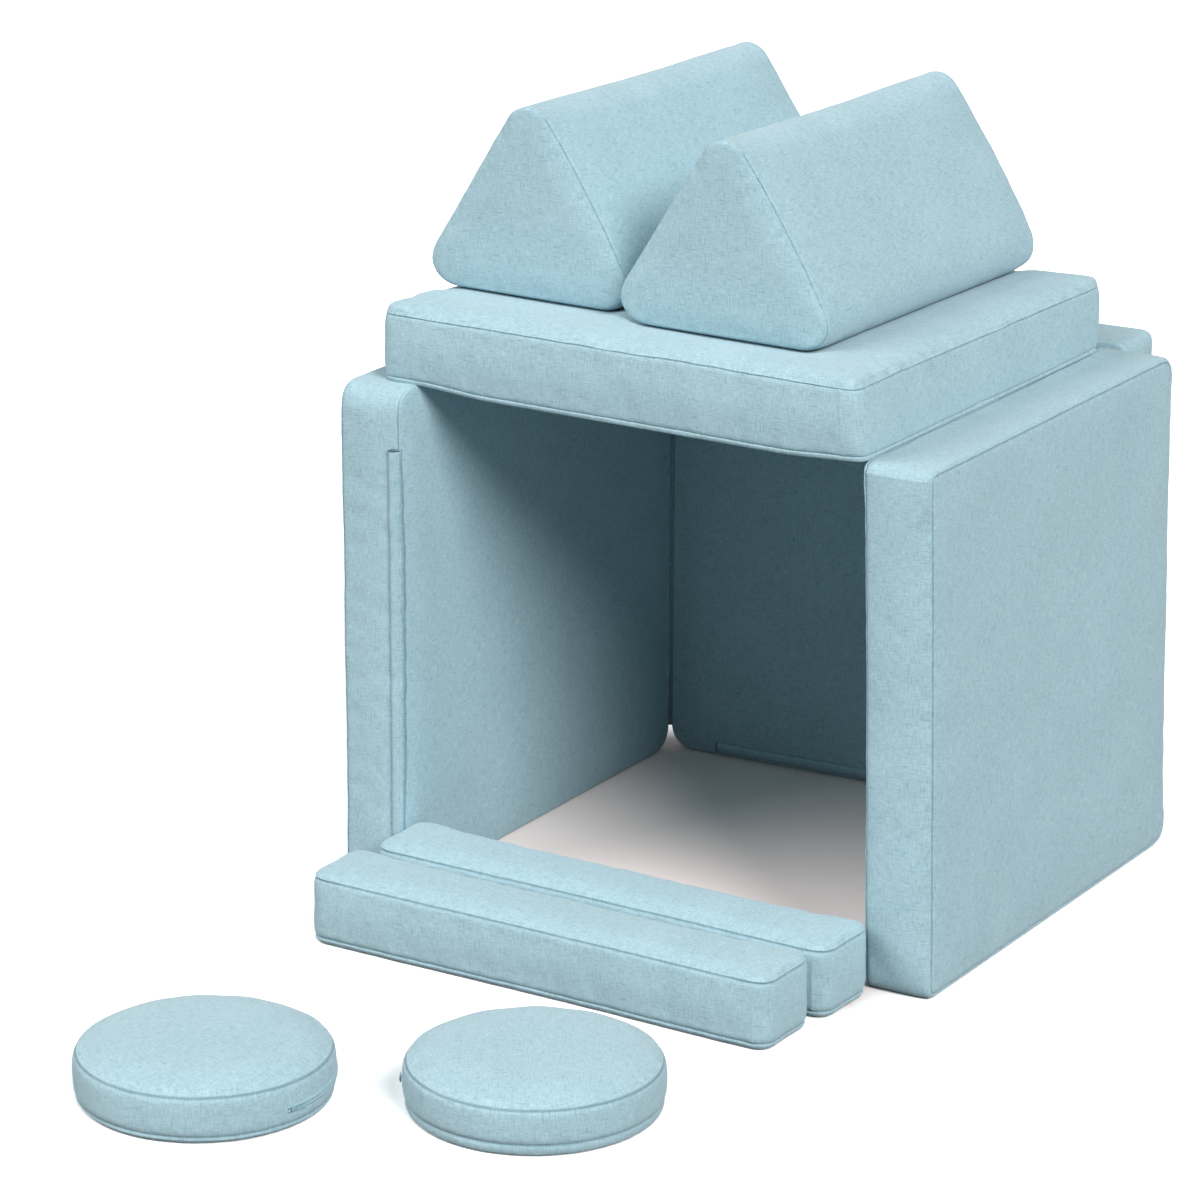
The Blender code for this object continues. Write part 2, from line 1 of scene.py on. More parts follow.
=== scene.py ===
"""Modular foam play sofa stood up as a den, in zipped covers of pale blue linen-look cloth.

Every cover is woven from the same cloth, puffed by a short cloth simulation between its seams,
sewn with real grooves and closed with a zip. All sizes are in metres, in the frame of the CAD part.
"""
import math

import bmesh
import bpy
import numpy as np
from bpy.props import FloatProperty, FloatVectorProperty, PointerProperty
from mathutils import Matrix, Quaternion, Vector
from mathutils import noise
from mathutils.bvhtree import BVHTree
from mathutils.kdtree import KDTree


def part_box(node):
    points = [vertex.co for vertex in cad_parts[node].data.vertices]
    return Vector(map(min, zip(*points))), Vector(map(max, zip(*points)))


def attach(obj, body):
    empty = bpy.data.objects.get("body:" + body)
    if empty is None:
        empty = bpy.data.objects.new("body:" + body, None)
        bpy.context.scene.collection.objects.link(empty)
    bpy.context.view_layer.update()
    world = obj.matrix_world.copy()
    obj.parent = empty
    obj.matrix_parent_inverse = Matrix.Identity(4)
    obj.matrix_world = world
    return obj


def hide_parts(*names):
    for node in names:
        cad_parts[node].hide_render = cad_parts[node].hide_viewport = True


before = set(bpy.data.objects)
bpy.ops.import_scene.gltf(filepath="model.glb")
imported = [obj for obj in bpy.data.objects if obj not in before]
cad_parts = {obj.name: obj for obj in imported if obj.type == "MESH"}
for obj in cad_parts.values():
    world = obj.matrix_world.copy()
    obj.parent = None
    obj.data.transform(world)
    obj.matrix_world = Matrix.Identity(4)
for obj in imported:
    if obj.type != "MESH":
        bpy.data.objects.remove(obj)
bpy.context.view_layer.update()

bl_info = {
    "name": "Modular foam play sofa",
    "version": (1, 0, 0),
    "blender": (4, 5, 0),
    "location": "View3D > Sidebar > Play sofa",
    "description": "Builds the covers, zips and stage of a modular foam play sofa",
    "category": "Add Mesh",
}

# Each piece's own frame: where its corner is, or a disc's middle, its turn in degrees, and whether
# it is drawn on its side. Such a piece has local Y upward and its thickness or length along
# local Z: a panel from its outer face to its inner one, a bolster from its rear end to its front.
PLACES = {
    "left_panel": ((-0.503744, 0.011902, 0.0), 90.0, True),
    "back_panel": ((-0.398426, 0.922303, 0.0), 2.7, True),
    "right_panel": ((0.507156, 0.843016, 0.0), -90.2, True),
    "roof_cushion": ((-0.457744, 0.056402, 0.8003), -1.5, False),
    "left_bolster": ((-0.47956, 0.839937, 0.9151), -2.2, True),
    "right_bolster": ((-0.111505, 0.787018, 0.9151), -2.0, True),
    "front_bar": ((-0.402744, -0.240098, 0.0), -0.8, False),
    "rear_bar": ((-0.388744, -0.086598, 0.0), -1.1, False),
    "left_disc": ((-0.199744, -0.777598, 0.0), -16.0, False),
    "right_disc": ((0.212256, -0.570598, 0.0), -149.0, False),
}

NEAR = 1e-5
RIM_STEPS = (0, 24, 48, 70)  # degrees round a soft rim at which a ring of the skin lies
SEAM_ON_RIM = 0.6  # how far down a soft rim its seam lies, as a share of the rim's radius
SMALLEST_CORNER = 0.002
ARC_STEPS, SIDE_STEPS = 12, 24  # points round a corner and along a side of a bolster's end
GIRTH_SAMPLES = 257
LAY_REACH = 0.03  # how far above the cloth a trim's points are dropped onto it from

# How finely each kind of cover is divided: the side of a cell, or the cells across a face
PANEL_CELL = 0.0145
ROOF_CELL = 0.0145
BAR_CELL = 0.0125
BOLSTER_CELL, BOLSTER_GRID = 0.014, (22, 22)
DISC_CELL, DISC_GRID = 0.013, (26, 26)

# The cloth's faint clouds, its small folds beside a seam, the tint of a thick place in a yarn, and
# the painted shade at the bottom of a seam, which stands in for the shade in its groove
CLOUD_SIZE, FOLD_SIZE = 0.11111, 0.0142857
SLUB_SHADE, SEAM_PAINTED_SHADE = "DDE5E8", "869AA2"

# The simulation that fills the covers
FRAMES_OF_CLOTH = 16
CLOTH_PRESSURE = 4.0
CLOTH_STIFFNESS = 20
CLOTH_GROWTH = 0.004

# Gathers and long waves in the cloth, as so many to the metre, how many times finer a second set
# of gathers is, and where in the noise the waves start
GATHERS, WAVES = 34, 7
FINER = 2.3
WAVES_START = Vector((9.1, 3.7, 5.3))
GATHER_REACH = 0.030  # how far from a seam the gathers fade
SEAM_REACH = 0.022  # how far from a seam its small folds reach

# Seams: how high the shoulders of a groove rise, as a share of its depth, and for the small ridge
# along a seam across the boxing its width, depth, shoulder and painted shade, and how far it is
# from the cushion's side
SHOULDER = 0.4
RIDGE = (0.0040, -0.0007, -0.0002, 0.3)
CROSS_SEAM_INSET = 0.030

# The roof cushion: the distances from its left side between which its base comes free of the
# panel, those from its right and rear sides over which it does, the width over which its lower
# edge spreads, and how far beside a bolster its top starts and ends to rise
LEFT_BEARING, RIGHT_BEARING, REAR_BEARING = (0.060, 0.200), 0.13, 0.15
SPREAD_WIDTH = 0.10
PRESSED = (0.004, 0.045)

# The edges on which pieces rest stay flat up to these heights
PANEL_FOOT, BOLSTER_FOOT, FLAT_BASE = 0.006, 0.004, 0.002

# How far in from its ends and how high up a bolster is rolled, and the rounds that smooth a disc
ROLLED_END, ROLLED_HEIGHT = 0.035, 0.060
DISC_SMOOTHINGS = 8

# Stage: the floor, and how far outside the den its painted shade has faded into the tone of the
# rest
FLOOR_SIZE, FLOOR_DROP, DEN_EDGE = 30.0, 0.0005, 0.11
LAMP_DISTANCE = 4
CAMERA_PLACE = (3.43033, -5.64272, 2.63696)
CAMERA_BEARING, CAMERA_ROLL = (31.55, 17.59), 0.14  # degrees
CAMERA_LENS, CAMERA_SENSOR = 141.28, 36.0  # millimetres

# Zips: the steps along one, how far it stops short of the corners or ends, how far from the slider
# its lips close, and its trims. Sections are points (across the zip, above the cloth)
ZIP_STEPS, BOLSTER_ZIP_STEPS, DISC_ZIP_STEPS = 60, 50, 48
ZIP_MARGIN, BOLSTER_ZIP_MARGIN = 0.050, 0.055
PARTING_REACH = 0.022
TAPE_FOOT = -0.0006
TACK_SECTION = ((-0.0013, -0.0003), (-0.0010, 0.0007), (0.0010, 0.0007), (0.0013, -0.0003))
STITCH_PITCH, STITCH_LENGTH, THREAD = 0.0036, 0.0026, 0.0007
STITCH_ON_LIP = 0.0013
STITCH_FROM_HEM = 0.0045
TOOTH_PITCH, TOOTH_HEIGHT = 0.0018, 0.0012
TOOTH_CORNERS = ((0.1, -0.3), (0.1, 0.3), (1.0, 0.3), (1.0, -0.3))  # shares of width and pitch
SLIDER_START = 0.004
SLIDER_ON_LIPS, SLIDER_UNDER_FLAP = 0.0022, 0.0009


def linear(colour):
    """An sRGB hex colour such as A9CCD7 as linear red, green and blue."""
    parts = [int(colour[i:i + 2], 16) / 255 for i in (0, 2, 4)]
    return tuple(p / 12.92 if p <= 0.04045 else ((p + 0.055) / 1.055) ** 2.4 for p in parts)


def place_of(piece):
    """The matrix of a piece's own frame."""
    corner, turn, upright = PLACES[piece]
    matrix = Matrix.Translation(corner) @ Matrix.Rotation(math.radians(turn), 4, "Z")
    return matrix @ Matrix.Rotation(math.radians(90), 4, "X") if upright else matrix


# Outlines. Each maps a square grid, u and v from -1 to 1, onto a cushion's face.


class RoundedRectangle:
    """A rectangle with round corners, whose loose sides draw in between them."""

    def __init__(self, width, depth, corners, draw, loose):
        self.half = np.array((width / 2, depth / 2))
        self.corners = corners  # front left, front right, rear right, rear left
        self.draw = draw
        self.loose = loose  # front, right, rear, left: 1 where cloth may swell, else 0

    def corner(self, uv):
        """The corner radius that each point of the grid is near to."""
        a, b, c, d = self.corners
        return np.where(uv[:, 1] < 0, np.where(uv[:, 0] < 0, a, b), np.where(uv[:, 0] < 0, d, c))

    def place(self, uv, inset):
        half = self.half - inset
        radius = np.maximum(self.corner(uv) - inset, SMALLEST_CORNER)[:, None]
        spot = uv * half
        past = np.abs(spot) - (half - radius)
        both = (past > 0).all(1)
        length = np.where(both, np.hypot(past[:, 0], past[:, 1]), 1.0)
        scale = np.where(both, past.max(1) / length, 1.0)[:, None]
        spot = np.where(both[:, None], np.sign(spot) * (half - radius + past * scale), spot)
        front, right, rear, left = self.loose
        pull_x = self.draw * np.where(uv[:, 0] > 0, right, left)
        pull_y = self.draw * np.where(uv[:, 1] > 0, rear, front)
        bow = 1 - np.minimum(np.abs(spot / half), 1) ** 2
        spot[:, 0] -= pull_x * bow[:, 1] * uv[:, 0] * np.abs(uv[:, 0])
        spot[:, 1] -= pull_y * bow[:, 0] * uv[:, 1] * np.abs(uv[:, 1])
        return spot + self.half

    def outward(self, uv):
        spot = uv * self.half
        past = np.maximum(np.abs(spot) - (self.half - self.corner(uv)[:, None]), 0) * np.sign(spot)
        return past / np.linalg.norm(past, axis=1)[:, None]

    def swell(self, uv):
        """How far each side may swell, from 0 to 1."""
        out = self.outward(uv)
        front, right, rear, left = self.loose
        x = np.where(uv[:, 0] > 0, right, left)
        y = np.where(uv[:, 1] > 0, rear, front)
        return out[:, 0] ** 2 * x + out[:, 1] ** 2 * y


class Loop:
    """A closed outline given by points and normals, spread evenly round the grid's edge."""

    def __init__(self, points, normals, centre, fixed=()):
        self.points = np.array([*points, points[0]])
        self.normals = np.array([*normals, normals[0]])
        self.centre = np.array(centre)
        self.fixed = fixed  # directions in which the outline rests on something
        steps = np.linalg.norm(np.diff(self.points, axis=0), axis=1)
        self.run = np.concatenate(([0.0], np.cumsum(steps)))

    def at(self, uv, values):
        run = round_share(uv) * self.run[-1]
        return np.stack([np.interp(run, self.run, values[:, k]) for k in (0, 1)], axis=1)

    def place(self, uv, inset):
        reach = np.abs(uv).max(1)[:, None]
        edge = self.at(uv, self.points) - self.outward(uv) * inset
        return self.centre + (edge - self.centre) * reach

    def outward(self, uv):
        normal = self.at(uv, self.normals)
        return normal / np.linalg.norm(normal, axis=1)[:, None]

    def swell(self, uv):
        free = np.ones(len(uv))
        for direction in self.fixed:
            free -= np.clip(self.outward(uv) @ np.array(direction), 0, 1)
        return np.clip(free, 0, 1)


def round_share(uv):
    """How far round the grid's edge the ray through each point meets it, from 0 to 1."""
    reach = np.maximum(np.abs(uv).max(1), NEAR)[:, None]
    u, v = (uv / reach).T
    near = 1 - NEAR
    turn = np.where(v <= -near, u + 1,
                    np.where(u >= near, v + 3, np.where(v >= near, 5 - u, 7 - v)))
    return (turn / 8) % 1.0


def rounded_triangle(base, angle, corner, bow):
    """An isosceles triangle with round corners, on its base. Its right side bows outward."""
    tips = [Vector(p) for p in ((0, 0), (base, 0), (base / 2, base / 2 * math.tan(angle)))]
    cuts = [corner / math.tan(a / 2) for a in (angle, angle, math.pi - 2 * angle)]
    points, normals = [], []
    for i, tip in enumerate(tips):
        into = (tip - tips[i - 1]).normalized()
        ahead = tips[(i + 1) % 3] - tip
        along = ahead.normalized()
        before, after = Vector((into.y, -into.x)), Vector((along.y, -along.x))
        centre = tip - into * cuts[i] - before * corner
        for step in range(ARC_STEPS):
            normal = Matrix.Rotation(before.angle(after) * step / ARC_STEPS, 2) @ before
            points.append(centre + normal * corner)
            normals.append(normal)
        run = ahead.length - cuts[i] - cuts[(i + 1) % 3]
        for step in range(SIDE_STEPS):
            share = step / SIDE_STEPS
            swing = bow * 4 * share * (1 - share) if i == 1 else 0.0
            points.append(tip + along * (cuts[i] + run * share) + after * swing)
            normals.append(after)
    return Loop(points, normals, (base / 2, base / 2 * math.tan(angle / 2)), [(0, -1)])


def circle(radius, points=96):
    normals = [Vector((math.cos(a), math.sin(a))) for a in np.linspace(0, math.tau, points, False)]
    return Loop([n * radius for n in normals], normals, (0, 0))


# Covers


def rim_rings(level, direction, radius, seam_drop):
    """(inset, height, is a seam) of a soft rim, from the face's edge outward.

    The seam lies a drop below the face, or along the face's own edge where the drop is nil.
    """
    on_face = seam_drop == 0
    rings = []
    for step in RIM_STEPS:
        angle = math.radians(step)
        drop = radius * (1 - math.cos(angle))
        rings.append((radius * (1 - math.sin(angle)), level - direction * drop,
                      on_face and step == 0))
    rings.append((0.0, level - direction * (seam_drop or radius), not on_face))
    return rings


def wall_rings(low, high, cell):
    count = max(2, round((high - low) / cell))
    return [low + (high - low) * k / count for k in range(1, count)]


def cover_shell(outline, thickness, cells, cell, rims, seams, swell):
    """A closed skin of quads. Rims and seams are (base, top) pairs of radius and seam height."""
    base = rim_rings(0.0, -1, rims[0], seams[0])
    top = rim_rings(thickness, 1, rims[1], seams[1])
    low, high = base[-1][1], top[-1][1]
    between = wall_rings(low, high, cell)
    middle = len(between) // 2
    halves = (base + [(0.0, h, False) for h in between[:middle + 1]],
              top + [(0.0, h, False) for h in reversed(between[middle:])])
    skin = bmesh.new()
    u_layer, v_layer = (skin.verts.layers.float.new(n) for n in ("u", "v"))
    wall = skin.verts.layers.int.new("wall")
    sewn = []
    for rings in halves:
        made = bmesh.ops.create_grid(skin, x_segments=cells[0], y_segments=cells[1], size=1.0)
        verts = made["verts"]
        for vertex in verts:
            vertex[u_layer], vertex[v_layer] = vertex.co.x, vertex.co.y
        lay_ring(verts, outline, rings[0], swell, (low, high), (u_layer, v_layer))
        edges = [e for e in {e for v in verts for e in v.link_edges} if e.is_boundary]
        sewn += edges if rings[0][2] else []
        for ring in rings[1:]:
            grown = bmesh.ops.extrude_edge_only(skin, edges=edges)["geom"]
            verts = [g for g in grown if isinstance(g, bmesh.types.BMVert)]
            edges = [g for g in grown if isinstance(g, bmesh.types.BMEdge)]
            ends = set(verts)
            edges = [e for e in edges if e.verts[0] in ends and e.verts[1] in ends]
            lay_ring(verts, outline, ring, swell, (low, high), (u_layer, v_layer))
            for vertex in verts:
                vertex[wall] = 1
            sewn += edges if ring[2] else []
    for edge in skin.edges:
        edge.seam = False
    for edge in sewn:
        edge.seam = True
    bmesh.ops.remove_doubles(skin, verts=list(skin.verts), dist=NEAR)
    bmesh.ops.recalc_face_normals(skin, faces=list(skin.faces))
    lay_weave(skin, outline, (u_layer, v_layer), wall)
    return skin


def lay_ring(verts, outline, ring, swell, span, layers):
    """Puts one turn of the skin, or a whole face, in its place."""
    inset, height, _ = ring
    uv = np.array([(v[layers[0]], v[layers[1]]) for v in verts])
    spot = outline.place(uv, inset)
    share = (height - span[0]) / (span[1] - span[0])
    if 0 < share < 1:
        full = swell * (1 - (2 * share - 1) ** 4) * outline.swell(uv)
        spot = spot + outline.outward(uv) * full[:, None]
    for vertex, (x, y) in zip(verts, spot):
        vertex.co = (x, y, height)


def lay_weave(skin, outline, layers, wall):
    """The cloth's thread lines, in metres: along the face, or round and up the boxing."""
    uv_layer = skin.loops.layers.uv.new("weave")
    skin.verts.ensure_lookup_table()
    uv = np.array([(v[layers[0]], v[layers[1]]) for v in skin.verts])
    turn = round_share(uv)
    order = np.linspace(0, 1, GIRTH_SAMPLES)
    walk = np.stack([np.interp(order * 8, (0, 2, 4, 6, 8), c) for c in
                     ((-1, 1, 1, -1, -1), (-1, -1, 1, 1, -1))], axis=1)
    steps = np.linalg.norm(np.diff(outline.place(walk, 0.0), axis=0), axis=1)
    girth = np.concatenate(([0.0], np.cumsum(steps)))
    around = np.interp(turn, order, girth)
    for face in skin.faces:
        if all(v[wall] for v in face.verts):
            runs = [around[v.index] for v in face.verts]
            if max(runs) - min(runs) > girth[-1] / 2:
                runs = [r + girth[-1] if r < girth[-1] / 2 else r for r in runs]
            for loop, run in zip(face.loops, runs):
                loop[uv_layer].uv = (run, loop.vert.co.z)
        else:
            for loop in face.loops:
                loop[uv_layer].uv = loop.vert.co.xy


def mark_cross_seam(skin, near, span):
    """Marks a seam across the boxing, at the station nearest to a point of the outline."""
    walls = [e for e in skin.edges if abs(e.verts[0].co.z - e.verts[1].co.z) > NEAR
             and span[0] - NEAR <= min(v.co.z for v in e.verts)
             and max(v.co.z for v in e.verts) <= span[1] + NEAR]
    near = Vector(near)
    best = min(walls, key=lambda e: (e.verts[0].co.xy - near).length)
    layer = skin.verts.layers.float["u"], skin.verts.layers.float["v"]
    mark = [best.verts[0][k] for k in layer]
    for edge in walls:
        if all(abs(v[k] - m) < NEAR for v in edge.verts for k, m in zip(layer, mark)):
            edge.smooth = False


def make_object(name, skin):
    mesh = bpy.data.meshes.new(name)
    skin.to_mesh(mesh)
    skin.free()
    obj = bpy.data.objects.new(name, mesh)
    bpy.context.scene.collection.objects.link(obj)
    return obj


def hold(obj, bears):
    """Pins the seams and the sides that rest on something, for the simulation."""
    held = {v for e in obj.data.edges if e.use_seam for v in e.vertices}
    held |= {v.index for v in obj.data.vertices if bears(v.co)}
    obj.vertex_groups.new(name="held").add(sorted(held), 1.0, "REPLACE")


def puff(covers, most):
    """Fills the covers like foam under tight cloth, and keeps what moved, up to a limit."""
    scene = bpy.context.scene
    rest = {}
    for cover in covers:
        rest[cover.name] = coordinates(cover.data)
        cloth = cover.modifiers.new("puff", "CLOTH")
        cloth.settings.quality = 4
        cloth.settings.mass = 0.3
        cloth.settings.use_pressure = True
        cloth.settings.uniform_pressure_force = CLOTH_PRESSURE
        cloth.settings.vertex_group_mass = "held"
        cloth.settings.effector_weights.gravity = 0.0
        cloth.settings.tension_stiffness = CLOTH_STIFFNESS
        cloth.settings.compression_stiffness = CLOTH_STIFFNESS
        cloth.settings.shrink_min = -CLOTH_GROWTH
        cloth.collision_settings.use_collision = False
        cloth.point_cache.frame_start = 1
        cloth.point_cache.frame_end = FRAMES_OF_CLOTH
    for number in range(1, FRAMES_OF_CLOTH + 1):
        scene.frame_set(number)
    graph = bpy.context.evaluated_depsgraph_get()
    results = {c.name: coordinates(c.evaluated_get(graph).data) for c in covers}
    for cover in covers:
        cover.modifiers.clear()
        moved = results[cover.name] - rest[cover.name]
        length = np.maximum(np.linalg.norm(moved, axis=1), NEAR)[:, None]
        kept = rest[cover.name] + moved / length * most * np.tanh(length / most)
        cover.data.vertices.foreach_set("co", kept.astype(np.float32).ravel())
        cover.data.update()
    scene.frame_set(1)


def pucker(cover, amount, axis, flat):
    """Gathers the cloth a little beside each seam, and marks how near each point is to one.

    What lies below a given height along an axis stays flat, because it rests on something.
    """
    mesh = cover.data
    seams = [e for e in mesh.edges if e.use_seam]
    tree = KDTree(len(seams) * 2)
    for k, edge in enumerate(seams):
        one, two = (mesh.vertices[v].co for v in edge.vertices)
        tree.insert(one, 2 * k)
        tree.insert((one + two) / 2, 2 * k + 1)
    tree.balance()
    near = mesh.attributes.new("near_seam", "FLOAT", "POINT")
    for vertex, normal in zip(mesh.vertices, [n.vector.copy() for n in mesh.vertex_normals]):
        apart = tree.find(vertex.co)[2]
        near.data[vertex.index].value = max(0.0, 1 - apart / SEAM_REACH)
        if vertex.co[axis] < flat:
            continue
        spot = vertex.co * GATHERS
        fine = noise.noise(spot) + 0.6 * noise.noise(spot * FINER)
        wave = noise.noise(vertex.co * WAVES + WAVES_START)
        vertex.co += normal * (amount * (fine * math.exp(-apart / GATHER_REACH) + 1.4 * wave))
    mesh.update()


def relax(cover, low, rounds):
    """Evens out the cloth above a given height, between its seams."""
    skin = bmesh.new()
    skin.from_mesh(cover.data)
    free = [v for v in skin.verts if v.co.z > low and not any(e.seam for e in v.link_edges)]
    for _ in range(rounds):
        bmesh.ops.smooth_vert(skin, verts=free, factor=0.5, use_axis_x=True, use_axis_y=True,
                              use_axis_z=True)
    skin.to_mesh(cover.data)
    skin.free()


def coordinates(mesh):
    values = np.empty(len(mesh.vertices) * 3, np.float32)
    mesh.vertices.foreach_get("co", values)
    return values.reshape(-1, 3).astype(float)


def sew(cover, cloth):
    """Turns each marked seam into a groove with soft shoulders, and a cross seam into a ridge, both
    with painted shade.
    """
    skin = bmesh.new()
    skin.from_mesh(cover.data)
    # Painted shade: this layer says how dark the cloth is painted along seams, standing in for the
    # shade in them
    skin.verts.layers.float.new("seam")
    crease(skin, [e for e in skin.edges if e.seam], cloth.seam_width, cloth.seam_depth,
           cloth.seam_depth * SHOULDER, 1.0)
    across = [e for e in skin.edges if not e.smooth]
    if across:
        crease(skin, across, *RIDGE)
    skin.to_mesh(cover.data)
    skin.free()


def crease(skin, edges, width, depth, shoulder, shade):
    """Bevels edges into a line of a given depth, raises the cloth on both sides of it, and marks
    the line for painted shade.
    """
    seam = skin.verts.layers.float["seam"]
    made = bmesh.ops.bevel(skin, geom=edges, offset=width / 2, offset_type="OFFSET", segments=2,
                           profile=0.5, affect="EDGES", clamp_overlap=True)
    inside = set(made["faces"])
    skin.normal_update()
    deep = {v for v in made["verts"] if all(f in inside for f in v.link_faces)}
    for vertex in made["verts"]:
        vertex.co += vertex.normal * (-depth if vertex in deep else shoulder)
    for vertex in deep:
        # painted shade at the bottom of the line
        vertex[seam] = shade


def lean(cover, share):
    """Leans a standing piece over its inner face."""
    shear = Matrix.Identity(4)
    shear[2][1] = share
    cover.data.transform(shear)


def flatten_fold_side(cover, low, high):
    """Keeps the side at the fold flat: the two leaves lie side to side there when opened out."""
    for vertex in cover.data.vertices:
        vertex.co.x = min(max(vertex.co.x, low), high)


def dress(cover, piece, cloth):
    cover.data.transform(place_of(piece))
    cover.data.materials.append(cloth_material(cloth))
    cover.data.shade_smooth()
    smooth = cover.modifiers.new("soft cloth", "SUBSURF")
    smooth.levels = smooth.render_levels = 1
    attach(cover, piece)
    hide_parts(piece + "_cover", piece + "_foam_core")


# Zips, flaps and stitches, laid on a finished cover


class Surface:
    """A finished part's surface in its piece's own frame, for laying trims on it."""

    def __init__(self, part, piece):
        graph = bpy.context.evaluated_depsgraph_get()
        shape = part.evaluated_get(graph)
        mesh = shape.to_mesh()
        back = place_of(piece).inverted()
        verts = [back @ v.co for v in mesh.vertices]
        faces = [tuple(p.vertices) for p in mesh.polygons]
        shape.to_mesh_clear()
        self.tree = BVHTree.FromPolygons(verts, faces)

    def lay(self, point, outward, height):
        """The point on the surface under a given one, raised by a height."""
        hit = self.tree.ray_cast(point + outward * LAY_REACH, -outward)[0]
        if hit is None:
            hit = self.tree.find_nearest(point)[0]
        return hit + outward * height


def straight_track(start, end, outward, steps):
    """(point, direction, outward) along a straight zip."""
    along = (end - start).normalized()
    return [(start.lerp(end, k / steps), along, outward) for k in range(steps + 1)]


def round_track(radius, height, sweep, steps):
    track = []
    for k in range(steps + 1):
        angle = sweep * k / steps
        out = Vector((math.cos(angle), math.sin(angle), 0.0))
        way = Vector((-out.y, out.x, 0.0)) * math.copysign(1, sweep)
        track.append((out * radius + Vector((0, 0, height)), way, out))
    return track


def track_length(track):
    return sum((b[0] - a[0]).length for a, b in zip(track, track[1:]))


def along_track(track, share):
    """(point, direction, outward, across) at a share of the way along a track."""
    at = share * (len(track) - 1)
    low = min(int(at), len(track) - 2)
    along, outward = track[low][1:]
    return track[low][0].lerp(track[low + 1][0], at - low), along, outward, outward.cross(along)


def strip(name, surface, track, section, parting=0.0, painted_shade_corners=()):
    """A closed strip with a given cross section, laid along a track on the surface.

    The strip parts from the track's middle by up to a given amount where the slider is. Some
    corners of its section are painted dark with a seam's painted shade.
    """
    skin = bmesh.new()
    weave = skin.loops.layers.uv.new("weave")
    seam = skin.verts.layers.float.new("seam")
    rings = []
    for point, along, outward in track:
        across = outward.cross(along)
        apart = parting * math.exp(-((point - track[0][0]).length / PARTING_REACH) ** 2)
        ring = [surface.lay(point + across * (a + apart), outward, h) for a, h in section]
        rings.append([skin.verts.new(p) for p in ring])
        # Painted shade: these corners are painted dark like the bottom of a seam
        for corner in painted_shade_corners:
            rings[-1][corner][seam] = 1.0
    corners = [Vector(p) for p in (*section, section[0])]
    girth = np.cumsum([0.0, *((b - a).length for a, b in zip(corners, corners[1:]))])
    run = 0.0
    for one, two in zip(rings, rings[1:]):
        step = (two[0].co - one[0].co).length
        for k in range(len(section)):
            after = (k + 1) % len(section)
            face = skin.faces.new((one[k], one[after], two[after], two[k]))
            spots = ((run, k), (run, k + 1), (run + step, k + 1), (run + step, k))
            for loop, (u, turn) in zip(face.loops, spots):
                loop[weave].uv = (u, girth[turn])
        run += step
    skin.faces.new(rings[0])
    skin.faces.new(rings[-1][::-1])
    bmesh.ops.recalc_face_normals(skin, faces=list(skin.faces))
    return make_object(name, skin)


def stitches(name, surface, track, offsets, lift=0.0):
    """Rows of sewn stitches beside a track, each a short spindle of thread."""
    skin = bmesh.new()
    count = int(track_length(track) / STITCH_PITCH)
    for offset in offsets:
        for k in range(count):
            point, along, outward, across = along_track(track, (k + 0.5) / count)
            centre = surface.lay(point + across * offset, outward, lift + THREAD * 0.3)
            ends = [centre + along * STITCH_LENGTH / 2 - outward * THREAD * 0.4,
                    centre + across * THREAD / 2,
                    centre - along * STITCH_LENGTH / 2 - outward * THREAD * 0.4,
                    centre - across * THREAD / 2]
            peak = skin.verts.new(centre + outward * THREAD / 2)
            foot = skin.verts.new(centre - outward * THREAD / 2)
            ring = [skin.verts.new(p) for p in ends]
            for i in range(4):
                skin.faces.new((ring[i], ring[(i + 1) % 4], peak))
                skin.faces.new((ring[(i + 1) % 4], ring[i], foot))
    bmesh.ops.recalc_face_normals(skin, faces=list(skin.faces))
    return make_object(name, skin)


def coil(name, surface, track, width):
    """The zip's coil: two rows of teeth that meet along the middle."""
    count = int(track_length(track) / TOOTH_PITCH)
    skin = bmesh.new()
    teeth = []
    for side in (-1, 1):
        for k in range(count):
            share = (k + 0.5 + side * 0.25) / count
            point, along, outward, across = along_track(track, share)
            corners = []
            for a, s in TOOTH_CORNERS:
                spot = point + across * (side * a * width / 2) + along * (s * TOOTH_PITCH)
                corners.append(skin.verts.new(surface.lay(spot, outward, TOOTH_HEIGHT * 0.4)))
            face = skin.faces.new(corners)
            face.normal_update()
            if face.normal.dot(outward) < 0:
                face.normal_flip()
            teeth.append(face)
    bmesh.ops.inset_individual(skin, faces=teeth, thickness=TOOTH_PITCH * 0.14,
                               depth=TOOTH_HEIGHT * 0.6, use_even_offset=True)
    return make_object(name, skin)


